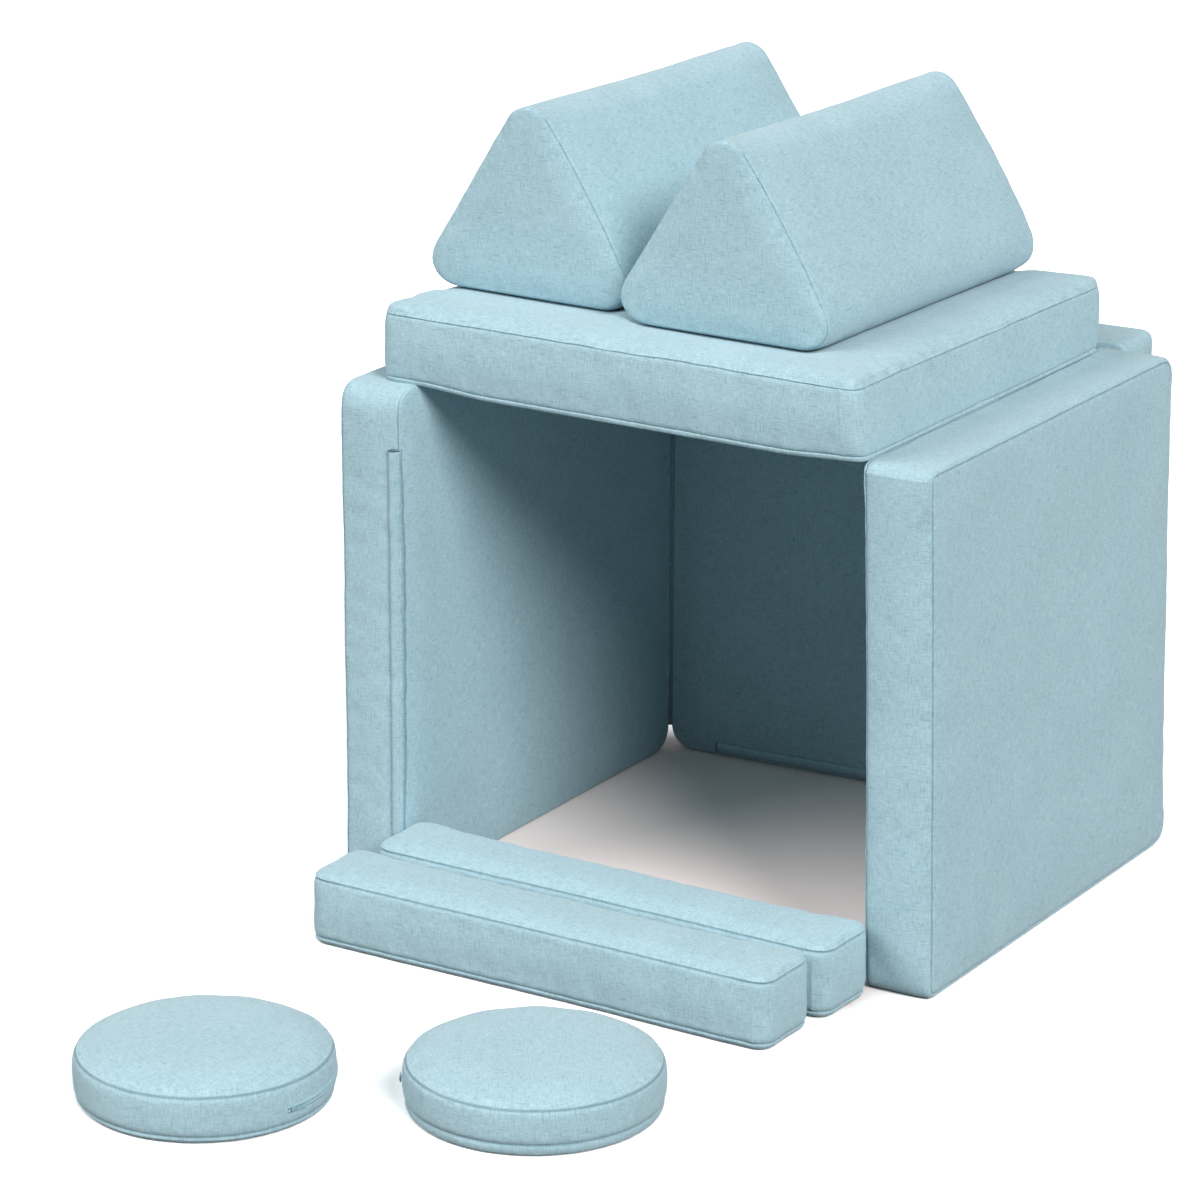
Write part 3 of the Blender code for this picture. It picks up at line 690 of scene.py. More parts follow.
def slider(name, pull):
    """A zip slider with a bridge and a flat pull that lies along the chain, foot at z = 0."""
    blocks = (
        # size, centre and rounding of the body, its nose, the bridge and its two feet, the pull
        ((0.0095, 0.0064, 0.0014), (0.0050, 0.0, 0.0007), 0.0005),
        ((0.0030, 0.0040, 0.0006), (0.0015, 0.0, 0.0016), 0.0002),
        ((0.0060, 0.0016, 0.0007), (0.0050, 0.0, 0.0026), 0.0003),
        ((0.0010, 0.0016, 0.0012), (0.0022, 0.0, 0.0018), 0.0002),
        ((0.0010, 0.0016, 0.0012), (0.0078, 0.0, 0.0018), 0.0002),
        ((pull, 0.0044, 0.0008), (0.0085 + pull / 2, 0.0, 0.0024), 0.0003))
    skin = bmesh.new()
    for size, centre, rounding in blocks:
        made = bmesh.ops.create_cube(skin, size=1.0)["verts"]
        bmesh.ops.scale(skin, vec=size, verts=made)
        bmesh.ops.translate(skin, vec=centre, verts=made)
        edges = list({e for v in made for e in v.link_edges})
        bmesh.ops.bevel(skin, geom=edges, offset=rounding, segments=2, profile=0.7,
                        affect="EDGES")
    return make_object(name, skin)


def trim(obj, piece, material, slot, *nodes, body=None):
    """Puts a trim in its piece's place, on the piece's body or on one of its own."""
    obj.data.transform(place_of(piece))
    obj.data.materials.append(material)
    obj.data.shade_smooth()
    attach(obj, body or piece)
    if nodes:
        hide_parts(*nodes)


def tape(piece, surface, track, half, height):
    """The woven tape that a zip is made on."""
    section = ((-half, TAPE_FOOT), (-half, height), (half, height), (half, TAPE_FOOT))
    trim(strip(piece + "_zip_tape", surface, track, section), piece, tape_material(), "zip",
         piece + "_zip")


def lipped_zip(piece, cover, track, cloth, lip, mouth):
    """A zip between two folded lips of cloth, each stitched down. The lips part at the slider."""
    surface = Surface(cover, piece)
    half = cloth.zip_gap / 2
    tape(piece, surface, track, 0.005, 0.0002)
    profile = ((0.0, 0.0004), (0.0003, 0.0013), (0.0014, 0.0016), (lip * 0.6, 0.0012),
               (lip, 0.0002), (lip, -0.0010), (0.0004, -0.0008))
    for side, name in ((-1, "lower"), (1, "upper")):
        section = [(side * (half + a), h) for a, h in profile]
        fold = strip(f"{piece}_zip_lip_{name}", surface, track, section, side * mouth / 2)
        trim(fold, piece, cloth_material(cloth), "cover")
    trim(coil(piece + "_zip_coil", surface, track, cloth.coil_width), piece, coil_material(),
         "zip")
    rows = [s * (half + lip * 0.45) for s in (-1, 1)]
    sewn = stitches(piece + "_zip_stitches", surface, track, rows, STITCH_ON_LIP)
    trim(sewn, piece, thread_material(), "cover")
    run_slider(piece, surface, track, SLIDER_ON_LIPS, cloth.pull)


def flapped_zip(piece, cover, track, cloth):
    """A hidden zip under a folded flap, with a bar tack at each end."""
    surface = Surface(cover, piece)
    width = cloth.flap_width
    half = width / 2
    tape(piece, surface, track, 0.004, 0.0003)
    # Round the outside of the hollow flap from its hinge to its hem, and back inside
    section = [(-half, -0.001), (-half, 0.0026), (-half + 0.002, 0.0046), (-0.0040, 0.0058),
               (0.0040, 0.0056), (half - 0.003, 0.0032), (half, 0.0012), (half, -0.001),
               (half - 0.0022, -0.001), (half - 0.0038, 0.0020), (0.0040, 0.0047),
               (-0.0040, 0.0049), (-half + 0.0030, 0.0034), (-half + 0.0016, -0.001)]
    # Painted shade: the corners at the flap's hem are painted dark, standing in for the shadow
    # along its edge
    flap = strip(piece + "_zip_flap", surface, track, section, painted_shade_corners=(6, 7, 8))
    trim(flap, piece, cloth_material(cloth), "cover")
    soft = flap.modifiers.new("soft edge", "BEVEL")
    soft.width, soft.segments, soft.limit_method = 0.0008, 2, "ANGLE"
    on_flap = Surface(flap, piece)
    sewn = stitches(piece + "_zip_stitches", on_flap, track, [half - STITCH_FROM_HEM])
    trim(sewn, piece, thread_material(), "cover")
    for end, (point, along, outward), inward in (("start", track[0], 0.0015),
                                                 ("end", track[-1], -0.0015)):
        across = outward.cross(along)
        line = [(point + along * inward + across * (width * (k / 12 - 0.5) * 1.2), across, outward)
                for k in range(13)]
        tack = strip(f"{piece}_bar_tack_{end}", on_flap, line, TACK_SECTION)
        trim(tack, piece, tack_material(), "cover")
    run_slider(piece, surface, track, SLIDER_UNDER_FLAP, cloth.hidden_pull)


def run_slider(piece, surface, track, height, pull):
    """The slider at the start of the zip, level with the highest cloth at both of its ends."""
    levels = [(surface.lay(p, out, 0.0) - p).dot(out) for p, _, out in (*track[:4], *track[-5:])]
    point, _, outward = track[0]
    along = (track[1][0] - point).normalized()
    seat = point + along * SLIDER_START + outward * (max(levels) + height)
    across = outward.cross(along)
    rotation = Matrix((along, across, outward)).transposed().to_4x4()
    obj = slider(piece + "_slider_and_pull", pull)
    obj.data.transform(Matrix.Translation(seat) @ rotation)
    trim(obj, piece, slider_material(), "slider", piece + "_zip_slider", body=piece + "_slider")


# Materials


def node(tree, kind, settings=None, **links):
    """Adds a shader node with its settings, and links or sets its inputs by name or number.

    A node that is given as a value is linked from its first output.
    """
    made = tree.nodes.new(kind)
    for key, value in (settings or {}).items():
        setattr(made, key, value)
    for name, value in links.items():
        socket = made.inputs[int(name[1:]) if name[0] == "_" else name.replace("_", " ")]
        if isinstance(value, bpy.types.Node):
            value = value.outputs[0]
        if isinstance(value, bpy.types.NodeSocket):
            tree.links.new(value, socket)
        else:
            socket.default_value = value
    return made


def new_material(name, roughness):
    """A named material, its nodes and its shader, or only the material where it exists already.

    Polyester, nylon, paint and paper share an index of refraction near 1.5.
    """
    material = bpy.data.materials.get(name)
    if material:
        return material, None, None
    material = bpy.data.materials.new(name)
    material.use_nodes = True
    shader = material.node_tree.nodes["Principled BSDF"]
    shader.inputs["Roughness"].default_value = roughness
    shader.inputs["Metallic"].default_value = 0.0
    shader.inputs["IOR"].default_value = 1.5
    return material, material.node_tree, shader


def cloth_material(cloth):
    """Linen-look polyester, plain woven from slubbed yarns of two near tones.

    The slubs give short light and dark dashes along both thread directions, and the fuzz of the
    spun yarn softens every edge with a little sheen.
    """
    material, tree, shader = new_material("Linen-look polyester, plain woven", 0.92)
    if tree is None:
        return material
    shader.inputs["Sheen Weight"].default_value = 0.25
    shader.inputs["Sheen Roughness"].default_value = 0.6
    shader.inputs["Specular IOR Level"].default_value = 0.25
    flat = {"noise_dimensions": "2D"}
    uv = node(tree, "ShaderNodeUVMap", {"uv_map": "weave"})
    threads, slubs = 1 / cloth.yarn_pitch, 1 / cloth.slub_length
    yarns, dashes = [], []
    for across, along in ((threads, slubs), (slubs, threads)):
        stretched = node(tree, "ShaderNodeMapping", Vector=uv, Scale=(across, along, 1))
        yarns.append(node(tree, "ShaderNodeTexNoise", flat, Vector=stretched, Scale=1.0,
                          Detail=3.0, Roughness=0.65))
    for across, along in ((0.6 * threads, 0.5 * slubs), (0.5 * slubs, 0.6 * threads)):
        stretched = node(tree, "ShaderNodeMapping", Vector=uv, Location=(31.7, 12.3, 0),
                         Scale=(across, along, 1))
        spots = node(tree, "ShaderNodeTexNoise", flat, Vector=stretched, Scale=1.0, Detail=1.0)
        dashes.append(node(tree, "ShaderNodeMapRange", Value=spots, From_Min=0.64, From_Max=0.76,
                           To_Max=0.6))
    both = node(tree, "ShaderNodeMath", {"operation": "ADD"}, _0=yarns[0], _1=yarns[1])
    level = node(tree, "ShaderNodeMapRange", Value=both, From_Min=0.64, From_Max=1.36)
    cloud = node(tree, "ShaderNodeTexNoise", flat, Vector=uv, Scale=1 / CLOUD_SIZE, Detail=2.0)
    tone = node(tree, "ShaderNodeMath", {"operation": "MULTIPLY_ADD"}, _0=cloud, _1=0.30,
                _2=-0.15)
    mixed = node(tree, "ShaderNodeMath", {"operation": "ADD", "use_clamp": True}, _0=level,
                 _1=tone)
    colour = node(tree, "ShaderNodeMix", {"data_type": "RGBA"}, _0=mixed,
                  _6=(*cloth.dark_yarn, 1), _7=(*cloth.light_yarn, 1))
    darker = {"data_type": "RGBA", "blend_type": "MULTIPLY"}
    dash = node(tree, "ShaderNodeMath", {"operation": "MAXIMUM"}, _0=dashes[0], _1=dashes[1])
    slubbed = node(tree, "ShaderNodeMix", darker, _0=dash, _6=colour.outputs[2],
                   _7=(*linear(SLUB_SHADE), 1))
    # Painted shade: where the seam layer is set, in grooves, ridges, a flap's hem and the fold's
    # welt, the cloth is darkened toward the painted seam shade, standing in for the shade there
    seam = node(tree, "ShaderNodeAttribute", {"attribute_name": "seam"})
    shade = node(tree, "ShaderNodeMapRange", Value=seam.outputs["Fac"], From_Min=0.15,
                 From_Max=0.8, To_Max=0.55)
    sewn = node(tree, "ShaderNodeMix", darker, _0=shade, _6=slubbed.outputs[2],
                _7=(*linear(SEAM_PAINTED_SHADE), 1))
    tree.links.new(sewn.outputs[2], shader.inputs["Base Color"])
    gather = node(tree, "ShaderNodeTexNoise", flat, Vector=uv, Scale=1 / FOLD_SIZE, Detail=2.0)
    near = node(tree, "ShaderNodeAttribute", {"attribute_name": "near_seam"})
    height = node(tree, "ShaderNodeMath", {"operation": "MULTIPLY"}, _0=gather,
                  _1=near.outputs["Fac"])
    folds = node(tree, "ShaderNodeBump", Height=height, Strength=0.8, Distance=0.0022)
    bump = node(tree, "ShaderNodeBump", Height=both, Strength=0.28,
                Distance=cloth.yarn_pitch * 0.5, Normal=folds)
    tree.links.new(bump.outputs[0], shader.inputs["Normal"])
    return material


def plain_material(name, colour, roughness, grain, relief):
    """A finish with a fine grain, its size in millimetres, in colour and in relief."""
    material, tree, shader = new_material(name, roughness)
    if tree is None:
        return material
    where = node(tree, "ShaderNodeTexCoord").outputs["Object"]
    spots = node(tree, "ShaderNodeTexNoise", Vector=where, Scale=1000 / grain, Detail=2.0)
    base = linear(colour)
    mixed = node(tree, "ShaderNodeMix", {"data_type": "RGBA"}, _0=spots,
                 _6=(*[c * 0.82 for c in base], 1), _7=(*[min(1, c * 1.15) for c in base], 1))
    tree.links.new(mixed.outputs[2], shader.inputs["Base Color"])
    bump = node(tree, "ShaderNodeBump", Height=spots, Strength=relief, Distance=0.0003 * grain)
    tree.links.new(bump.outputs[0], shader.inputs["Normal"])
    return material


def tape_material():
    """Woven polyester zip tape: flat, matt, and a shade deeper than the cloth."""
    return plain_material("Polyester zip tape, woven", "7FA9B6", 0.85, 0.8333, 0.3)


def coil_material():
    """Nylon coil, wound from moulded thread: slightly glossy, in the cloth's colour."""
    return plain_material("Nylon zip coil, moulded", "8FB6C2", 0.45, 1.1111, 0.1)


def thread_material():
    """Polyester sewing thread, twisted: a fine round line that catches light."""
    return plain_material("Polyester thread, twisted", "9CC2CE", 0.7, 0.4, 0.3)


def tack_material():
    """Bar tack thread, painted much darker than the cloth: painted shade for its dense stitches."""
    return plain_material("Bar tack thread, twisted", "3B5C68", 0.75, 0.4, 0.3)


def slider_material():
    """Zinc alloy, die-cast and painted to match: smooth, with a soft satin highlight."""
    return plain_material("Zinc alloy, die-cast and painted", "86AEBB", 0.38, 1.4286, 0.05)


def seen_directly(tree):
    """1 where the camera sees a surface, straight or in glass or a gloss, and 0 for its light."""
    path = node(tree, "ShaderNodeLightPath").outputs
    seen = node(tree, "ShaderNodeMath", {"operation": "MAXIMUM"}, _0=path["Is Camera Ray"],
                _1=path["Is Glossy Ray"])
    return node(tree, "ShaderNodeMath", {"operation": "MAXIMUM"}, _0=seen,
                _1=path["Is Transmission Ray"])


def outside_den(tree):
    """0 on the floor that the standing panels enclose, where its painted shade lies, rising to 1 a
    little way outside it.
    """
    left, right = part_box("left_panel_cover"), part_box("right_panel_cover")
    low = (left[1].x, left[0].y)
    high = (right[0].x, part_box("back_panel_cover")[0].y)
    place = node(tree, "ShaderNodeNewGeometry").outputs["Position"]
    where = node(tree, "ShaderNodeSeparateXYZ", Vector=place)
    past = []
    for axis in (0, 1):
        away = node(tree, "ShaderNodeMath", {"operation": "SUBTRACT"}, _0=where.outputs[axis],
                    _1=(low[axis] + high[axis]) / 2)
        apart = node(tree, "ShaderNodeMath", {"operation": "ABSOLUTE"}, _0=away)
        past.append(node(tree, "ShaderNodeMath", {"operation": "SUBTRACT"}, _0=apart,
                         _1=(high[axis] - low[axis]) / 2))
    furthest = node(tree, "ShaderNodeMath", {"operation": "MAXIMUM"}, _0=past[0], _1=past[1])
    return node(tree, "ShaderNodeMapRange", {"interpolation_type": "SMOOTHSTEP"}, Value=furthest,
                From_Min=0.0, From_Max=DEN_EDGE)


def floor_material(stage):
    """Matt paper, rolled. The camera sees it lifted to white, so only the shadows show.

    Inside the den it is lifted just to white and a little warm: a painted shade that keeps the
    shade there deeper than elsewhere and evens out the blue light that the panels throw on it.
    """
    material, tree, shader = new_material("Matt paper, rolled", 0.95)
    if tree is None:
        return material
    plain = node(tree, "ShaderNodeBsdfDiffuse", Color=(*stage.floor_colour, 1))
    # Painted shade: the paper inside the den is lifted less than outside, so its shadows show
    # darker
    tone = node(tree, "ShaderNodeMix", {"data_type": "RGBA"}, _0=outside_den(tree),
                _6=(*stage.den_painted_shade, 1), _7=(*[stage.floor_lift] * 3, 1))
    lifted = node(tree, "ShaderNodeBsdfDiffuse", Color=tone.outputs[2])
    mixed = node(tree, "ShaderNodeMixShader", _0=seen_directly(tree), _1=plain, _2=lifted)
    tree.links.new(mixed.outputs[0], tree.nodes["Material Output"].inputs["Surface"])
    tree.nodes.remove(shader)
    return material


# Settings that a user would change


def length(name, description, default):
    return FloatProperty(name=name, description=description, default=default, unit="LENGTH",
                         subtype="DISTANCE", precision=4)


def paint(name, description, colour):
    return FloatVectorProperty(name=name, description=description, default=linear(colour),
                               subtype="COLOR", size=3, min=0.0, max=1.0)


class ClothSettings(bpy.types.PropertyGroup):
    """The cloth that all the covers are cut from."""
    light_yarn: paint("Light yarn", "Colour of the lighter yarn", "B5D3DD")
    dark_yarn: paint("Dark yarn", "Colour of the darker yarn", "8FB2BC")
    yarn_pitch: length("Yarn pitch", "Width of a yarn with its slubs, coarse enough to show",
                       0.0016)
    slub_length: length("Slub length", "Length of the thick places in a yarn", 0.014)
    seam_width: length("Seam width", "Width of the groove along a seam", 0.0060)
    seam_depth: length("Seam depth", "Depth of the groove along a seam", 0.0032)
    zip_gap: length("Zip gap", "Gap between the two lips over a zip", 0.0012)
    zip_mouth: length("Zip mouth", "Gap between the lips beside the slider", 0.0066)
    lip_width: length("Lip width", "Width of the folded lip beside a zip", 0.0080)
    coil_width: length("Coil width", "Width of the zip's coil", 0.0042)
    flap_width: length("Flap width", "Width of the flap over a hidden zip", 0.0185)
    pull: length("Pull", "Length of a slider's pull", 0.019)
    hidden_pull: length("Hidden pull", "Length of the stub pull under a flap", 0.005)


class PanelSettings(bpy.types.PropertyGroup):
    """The three square panels."""
    side: length("Side", "Side of a square panel", 0.800)
    thickness: length("Thickness", "Thickness of a panel at its rim", 0.110)
    corner: length("Corner", "Radius of the corners seen from the face", 0.034)
    zip_corner: length("Zip corner", "Corner radius that the zip keeps clear of", 0.040)
    tight_corner: length("Tight corner", "Radius of the loose panel's upper front corner", 0.012)
    back_corner: length("Back corner", "Radius of the back panel's upper free corner", 0.018)
    rim: length("Rim", "Radius of the soft rim round each face", 0.0045)
    seam_drop: length("Seam drop", "How far the inner face's seam lies from it", 0.0050)
    back_seam: length("Back seam", "How far the back panel's seam lies from its inner face", 0.016)
    loose_rim: length("Loose rim", "Radius of the loose panel's outer rim, seamed along the face",
                      0.0075)
    fold_corner: length("Fold corner", "Radius of the upper corners at the fold", 0.008)
    fold_foot: length("Fold foot", "Radius of the lower corners at the fold", 0.040)
    fold_hold: length("Fold hold", "How far round the fold the cloth is held by the seam", 0.020)
    welt: length("Welt", "Radius of the sewn edge that the fold turns on", 0.0050)
    swell: length("Swell", "How far the loose ends swell", 0.003)
    draw: length("Draw", "How far loose ends draw in between the corners", 0.002)
    puff: length("Puff", "Most that a face rises in the simulation", 0.006)
    lean: length("Lean", "How far the loose panel leans in at the top", 0.018)
    zip_edge: length("Zip height", "Middle of the zip above the panel's foot", 0.016)
    end_zip_edge: length("End zip", "Middle of the left panel's zip from its inner face", 0.0108)
    zip_margin: length("Zip margin", "How far the zip stops short of the corners", 0.050)


class RoofSettings(bpy.types.PropertyGroup):
    """The roof cushion."""
    width: length("Width", "Width of the roof cushion", 0.8265)
    depth: length("Depth", "Depth of the roof cushion", 0.760)
    thickness: length("Thickness", "Thickness at the rim", 0.1105)
    corner: length("Corner", "Radius of the corners seen from above", 0.020)
    zip_corner: length("Zip corner", "Corner radius that the zip keeps clear of", 0.016)
    rim: length("Rim", "Radius of the soft rim", 0.008)
    base_rim: length("Base rim", "Radius of the soft rim under it", 0.0045)
    base_seam: length("Base seam", "Height of the lower seam", 0.0080)
    seam_drop: length("Seam drop", "How far the upper seam lies below the top's rim", 0.0056)
    sag: length("Sag", "How far the base sags between the panels", 0.007)
    spread: length("Spread", "How far the lower edge spreads over the right panel", 0.014)
    rise: length("Rise", "How far the top rises beside the bolsters", 0.008)
    swell: length("Swell", "How far the boxing swells", 0.004)
    draw: length("Draw", "How far the sides draw in between the corners", 0.003)
    puff: length("Puff", "Most that the top rises in the simulation", 0.004)


class BolsterSettings(bpy.types.PropertyGroup):
    """The two triangular bolsters."""
    base: length("Base", "Base of the triangle, measured to its sharp corners", 0.428)
    angle: FloatProperty(name="Angle", description="Angle between the base and a sloping side",
                         default=math.radians(57.3), unit="ROTATION", subtype="ANGLE")
    length: length("Length", "Length of a bolster", 0.630)
    corner: length("Corner", "Radius of the long edges", 0.042)
    bow: length("Bow", "How far the sloped face bows outward", 0.005)
    rim: length("Rim", "Radius of the soft rim round each end", 0.007)
    swell: length("Swell", "How far the long faces swell", 0.003)
    puff: length("Puff", "Most that a face rises in the simulation", 0.006)
    roll: length("Roll", "How far the base rolls up at both ends", 0.005)


class BarSettings(bpy.types.PropertyGroup):
    """The two bars on the floor."""
    length: length("Length", "Length of a bar", 0.803)
    depth: length("Depth", "Depth of a bar", 0.131)
    thickness: length("Thickness", "Height of a bar at its rim", 0.112)
    corner: length("Corner", "Radius of the corners seen from above", 0.030)
    zip_corner: length("Zip corner", "Corner radius that the zip keeps clear of", 0.033)
    rim: length("Rim", "Radius of the soft rim", 0.0080)
    base_rim: length("Base rim", "Radius of the soft rim under it", 0.010)
    base_seam: length("Base seam", "Height of the lower seam", 0.0115)
    seam_drop: length("Seam drop", "How far the upper seam lies below the top's rim", 0.0080)
    swell: length("Swell", "How far the boxing swells", 0.003)
    draw: length("Draw", "How far the sides draw in between the corners", 0.003)
    puff: length("Puff", "Most that the top rises in the simulation", 0.007)


class DiscSettings(bpy.types.PropertyGroup):
    """The two round discs on the floor."""
    radius: length("Radius", "Radius of a disc", 0.180)
    thickness: length("Thickness", "Thickness at the rim", 0.080)
    rim: length("Rim", "Radius of the soft rim", 0.010)
    swell: length("Swell", "How far the wall swells", 0.003)
    puff: length("Puff", "Most that the top rises in the simulation", 0.016)
    seam_drop: length("Seam drop", "How far the upper seam lies below the top's rim", 0.0115)
    left_base_seam: length("Left base seam", "Height of the left disc's lower seam", 0.011)
    right_base_seam: length("Right base seam", "Height of the right disc's lower seam", 0.018)
    base_rim: length("Base rim", "Radius of the soft rim under it", 0.009)
    zip_height: length("Zip height", "Height of the zip above the floor", 0.033)
    lip_width: length("Lip width", "Width of the folded lip beside the zip", 0.0050)
    left_mouth: length("Left mouth", "Gap between the left disc's lips at the slider", 0.0008)
    right_mouth: length("Right mouth", "Gap between the right disc's lips at the slider", 0.0090)
    zip_sweep: FloatProperty(name="Zip sweep", description="Angle that the zip runs through",
                             default=math.radians(135), unit="ROTATION", subtype="ANGLE")


class StageSettings(bpy.types.PropertyGroup):
    """Floor, lamps and camera."""
    floor_colour: paint("Floor colour", "Colour of the paper under the sofa", "808080")
    floor_lift: FloatProperty(name="Floor lift", default=1.60, min=0.0, max=3.0,
                              description="Brightness of the paper as the camera sees it")
    # Painted shade: how much less, and how warm, the camera sees the paper inside the den
    den_painted_shade: FloatVectorProperty(name="Den lift", default=(1.05, 0.92, 0.88), size=3,
                                  description="Brightness of the paper inside the den")
    sky: FloatProperty(name="Sky", description="Strength of the light all round", default=0.25,
                       min=0.0)
    left_lamp: FloatProperty(name="Left lamp", description="Strength of the lamp on the left",
                             default=0.59 * math.pi, min=0.0)
    right_lamp: FloatProperty(name="Right lamp", description="Strength of the lamp on the right",
                              default=0.89 * math.pi, min=0.0)


class SofaSettings(bpy.types.PropertyGroup):
    """All settings of the play sofa."""
    cloth: PointerProperty(type=ClothSettings)
    panels: PointerProperty(type=PanelSettings)
    roof: PointerProperty(type=RoofSettings)
    bolsters: PointerProperty(type=BolsterSettings)
    bars: PointerProperty(type=BarSettings)
    discs: PointerProperty(type=DiscSettings)
    stage: PointerProperty(type=StageSettings)


# Operators, one for each kind of piece


def cover_object(piece, skin, bears):
    """The cover made of a skin, held where it is sewn or bears on something."""
    cover = make_object(piece + "_linen_cover", skin)
    hold(cover, bears)
    return cover


def piece_of(cover):
    return cover.name.removesuffix("_linen_cover")


class SOFA_OT_panels(bpy.types.Operator):
    """Builds the three square panels with their hidden zips"""
    bl_idname = "sofa.panels"
    bl_label = "Panels"

    def execute(self, context):
        size, cloth = context.scene.play_sofa.panels, context.scene.play_sofa.cloth
        side, thick, rim = size.side, size.thickness, size.rim
        wide, tight = size.corner, size.tight_corner
        count = round(side / PANEL_CELL)
        # Corner radii, loose sides, base rim and seam, upper seam, and where the fold is
        shapes = {
            "left_panel": ((wide, size.fold_foot, size.fold_corner, wide), (0, 0, 0, 1),
                           (rim, rim * SEAM_ON_RIM), size.seam_drop, side),
            "back_panel": ((size.fold_foot, wide, size.back_corner, size.fold_corner),
                           (0, 1, 0, 0), (rim, rim * SEAM_ON_RIM), size.back_seam, 0.0),
            "right_panel": ((wide, tight, tight, wide), (0, 1, 0, 1), (size.loose_rim, 0.0),
                            size.seam_drop, math.inf)}
        covers = []
        for piece, (corners, loose, base, drop, fold) in shapes.items():
            outline = RoundedRectangle(side, side, corners, size.draw, loose)
            skin = cover_shell(outline, thick, (count, count), PANEL_CELL, (base[0], rim),
                               (base[1], drop), size.swell)
            if piece == "right_panel":
                mark_cross_seam(skin, (side, side - tight), (base[0], thick - drop))
            covers.append(cover_object(
                piece, skin, lambda p: p.y < PANEL_FOOT or p.y > side - PANEL_FOOT
                or math.hypot(p.x - fold, p.z - thick) < size.fold_hold))
        puff(covers, size.puff)
        for cover in covers:
            piece = piece_of(cover)
            pucker(cover, amount=0.0010, axis=1, flat=PANEL_FOOT)
            sew(cover, cloth)
            if piece == "right_panel":
                lean(cover, size.lean / side)
            elif piece == "left_panel":
                flatten_fold_side(cover, -side, side - NEAR)
            else:
                flatten_fold_side(cover, NEAR, 2 * side)
            dress(cover, piece, cloth)
        ends = size.zip_corner + size.zip_margin
        for cover in covers:
            piece = piece_of(cover)
            if piece == "left_panel":
                depth = thick - size.end_zip_edge
                start, end = Vector((0, side - ends, depth)), Vector((0, ends, depth))
                outward = Vector((-1, 0, 0))
            else:
                start = Vector((ends, size.zip_edge, thick))
                end = Vector((side - ends, size.zip_edge, thick))
                outward = Vector((0, 0, 1))
            flapped_zip(piece, cover, straight_track(start, end, outward, ZIP_STEPS), cloth)
        return {"FINISHED"}


def ramp(value, start, end):
    """Rises smoothly from 0 at one value to 1 at another."""
    share = min(max((value - start) / (end - start), 0.0), 1.0)
    return share * share * (3 - 2 * share)


def sag_between(cover, size):
    """Lets the roof cushion's base hang between the panels that carry it.

    It lies on the left panel's top and on the edge of the right panel, over which its lower
    edge spreads toward the front.
    """
    for vertex in cover.data.vertices:
        x, y, z = vertex.co
        low = min(max(1 - z / size.thickness, 0.0), 1.0)
        free = ramp(x, *LEFT_BEARING) * ramp(size.width - x, 0.0, RIGHT_BEARING)
        vertex.co.z = z - size.sag * free * ramp(size.depth - y, 0.0, REAR_BEARING) * low
        aside = ramp(x, size.width - SPREAD_WIDTH, size.width)
        forward = 1 - min(y / size.depth, 1.0) ** 2
        vertex.co.x = x + size.spread * forward * aside * low


def rise_beside(cover, size, bolsters):
    """Lets the top rise where no bolster presses on it."""
    cut = bolsters.corner / math.tan(bolsters.angle / 2)
    here = place_of("roof_cushion")
    frames = [place_of(piece).inverted() @ here for piece in ("left_bolster", "right_bolster")]
    seam = size.thickness - size.seam_drop
    for vertex in cover.data.vertices:
        share = (vertex.co.z - seam) / size.seam_drop
        if share <= 0:
            continue
        free = 1.0
        for there in frames:
            x, _, z = there @ vertex.co
            aside = max(cut - x, x - bolsters.base + cut, 0.0)
            beyond = max(-z, z - bolsters.length, 0.0)
            free = min(free, ramp(math.hypot(aside, beyond), *PRESSED))
        vertex.co.z += size.rise * free * min(share, 1.0)


def boxed_cushions(pieces, size, width, cell, sofa):
    """Cushions that lie flat, each with a crowned top, boxing and a base, sewn with two seams.

    Each is puffed and sewn, and closed with an open zip along its rear.
    """
    cloth, depth = sofa.cloth, size.depth
    seams = (size.base_seam, size.seam_drop)
    outline = RoundedRectangle(width, depth, (size.corner,) * 4, size.draw, (1, 1, 1, 1))
    cells = (round(width / cell), max(8, round(depth / cell)))
    covers = []
    for piece in pieces:
        skin = cover_shell(outline, size.thickness, cells, cell, (size.base_rim, size.rim),
                           seams, size.swell)
        mark_cross_seam(skin, (width - CROSS_SEAM_INSET, 0.0),
                        (seams[0], size.thickness - seams[1]))
        covers.append(cover_object(piece, skin, lambda p: p.z < FLAT_BASE))
    puff(covers, size.puff)
    ends, height = size.zip_corner + ZIP_MARGIN, size.thickness / 2
    track = straight_track(Vector((ends, depth, height)), Vector((width - ends, depth, height)),
                           Vector((0, 1, 0)), ZIP_STEPS)
    for cover in covers:
        piece = piece_of(cover)
        pucker(cover, amount=0.0013, axis=2, flat=FLAT_BASE)
        sew(cover, cloth)
        if piece == "roof_cushion":
            sag_between(cover, size)
            rise_beside(cover, size, sofa.bolsters)
        dress(cover, piece, cloth)
        lipped_zip(piece, cover, track, cloth, cloth.lip_width, cloth.zip_mouth)


class SOFA_OT_roof(bpy.types.Operator):
    """Builds the roof cushion"""
    bl_idname = "sofa.roof"
    bl_label = "Roof cushion"

    def execute(self, context):
        sofa = context.scene.play_sofa
        boxed_cushions(("roof_cushion",), sofa.roof, sofa.roof.width, ROOF_CELL, sofa)
        return {"FINISHED"}


class SOFA_OT_bars(bpy.types.Operator):
    """Builds the two bars on the floor"""
    bl_idname = "sofa.bars"
    bl_label = "Bars"

    def execute(self, context):
        sofa = context.scene.play_sofa
        boxed_cushions(("front_bar", "rear_bar"), sofa.bars, sofa.bars.length, BAR_CELL, sofa)
        return {"FINISHED"}


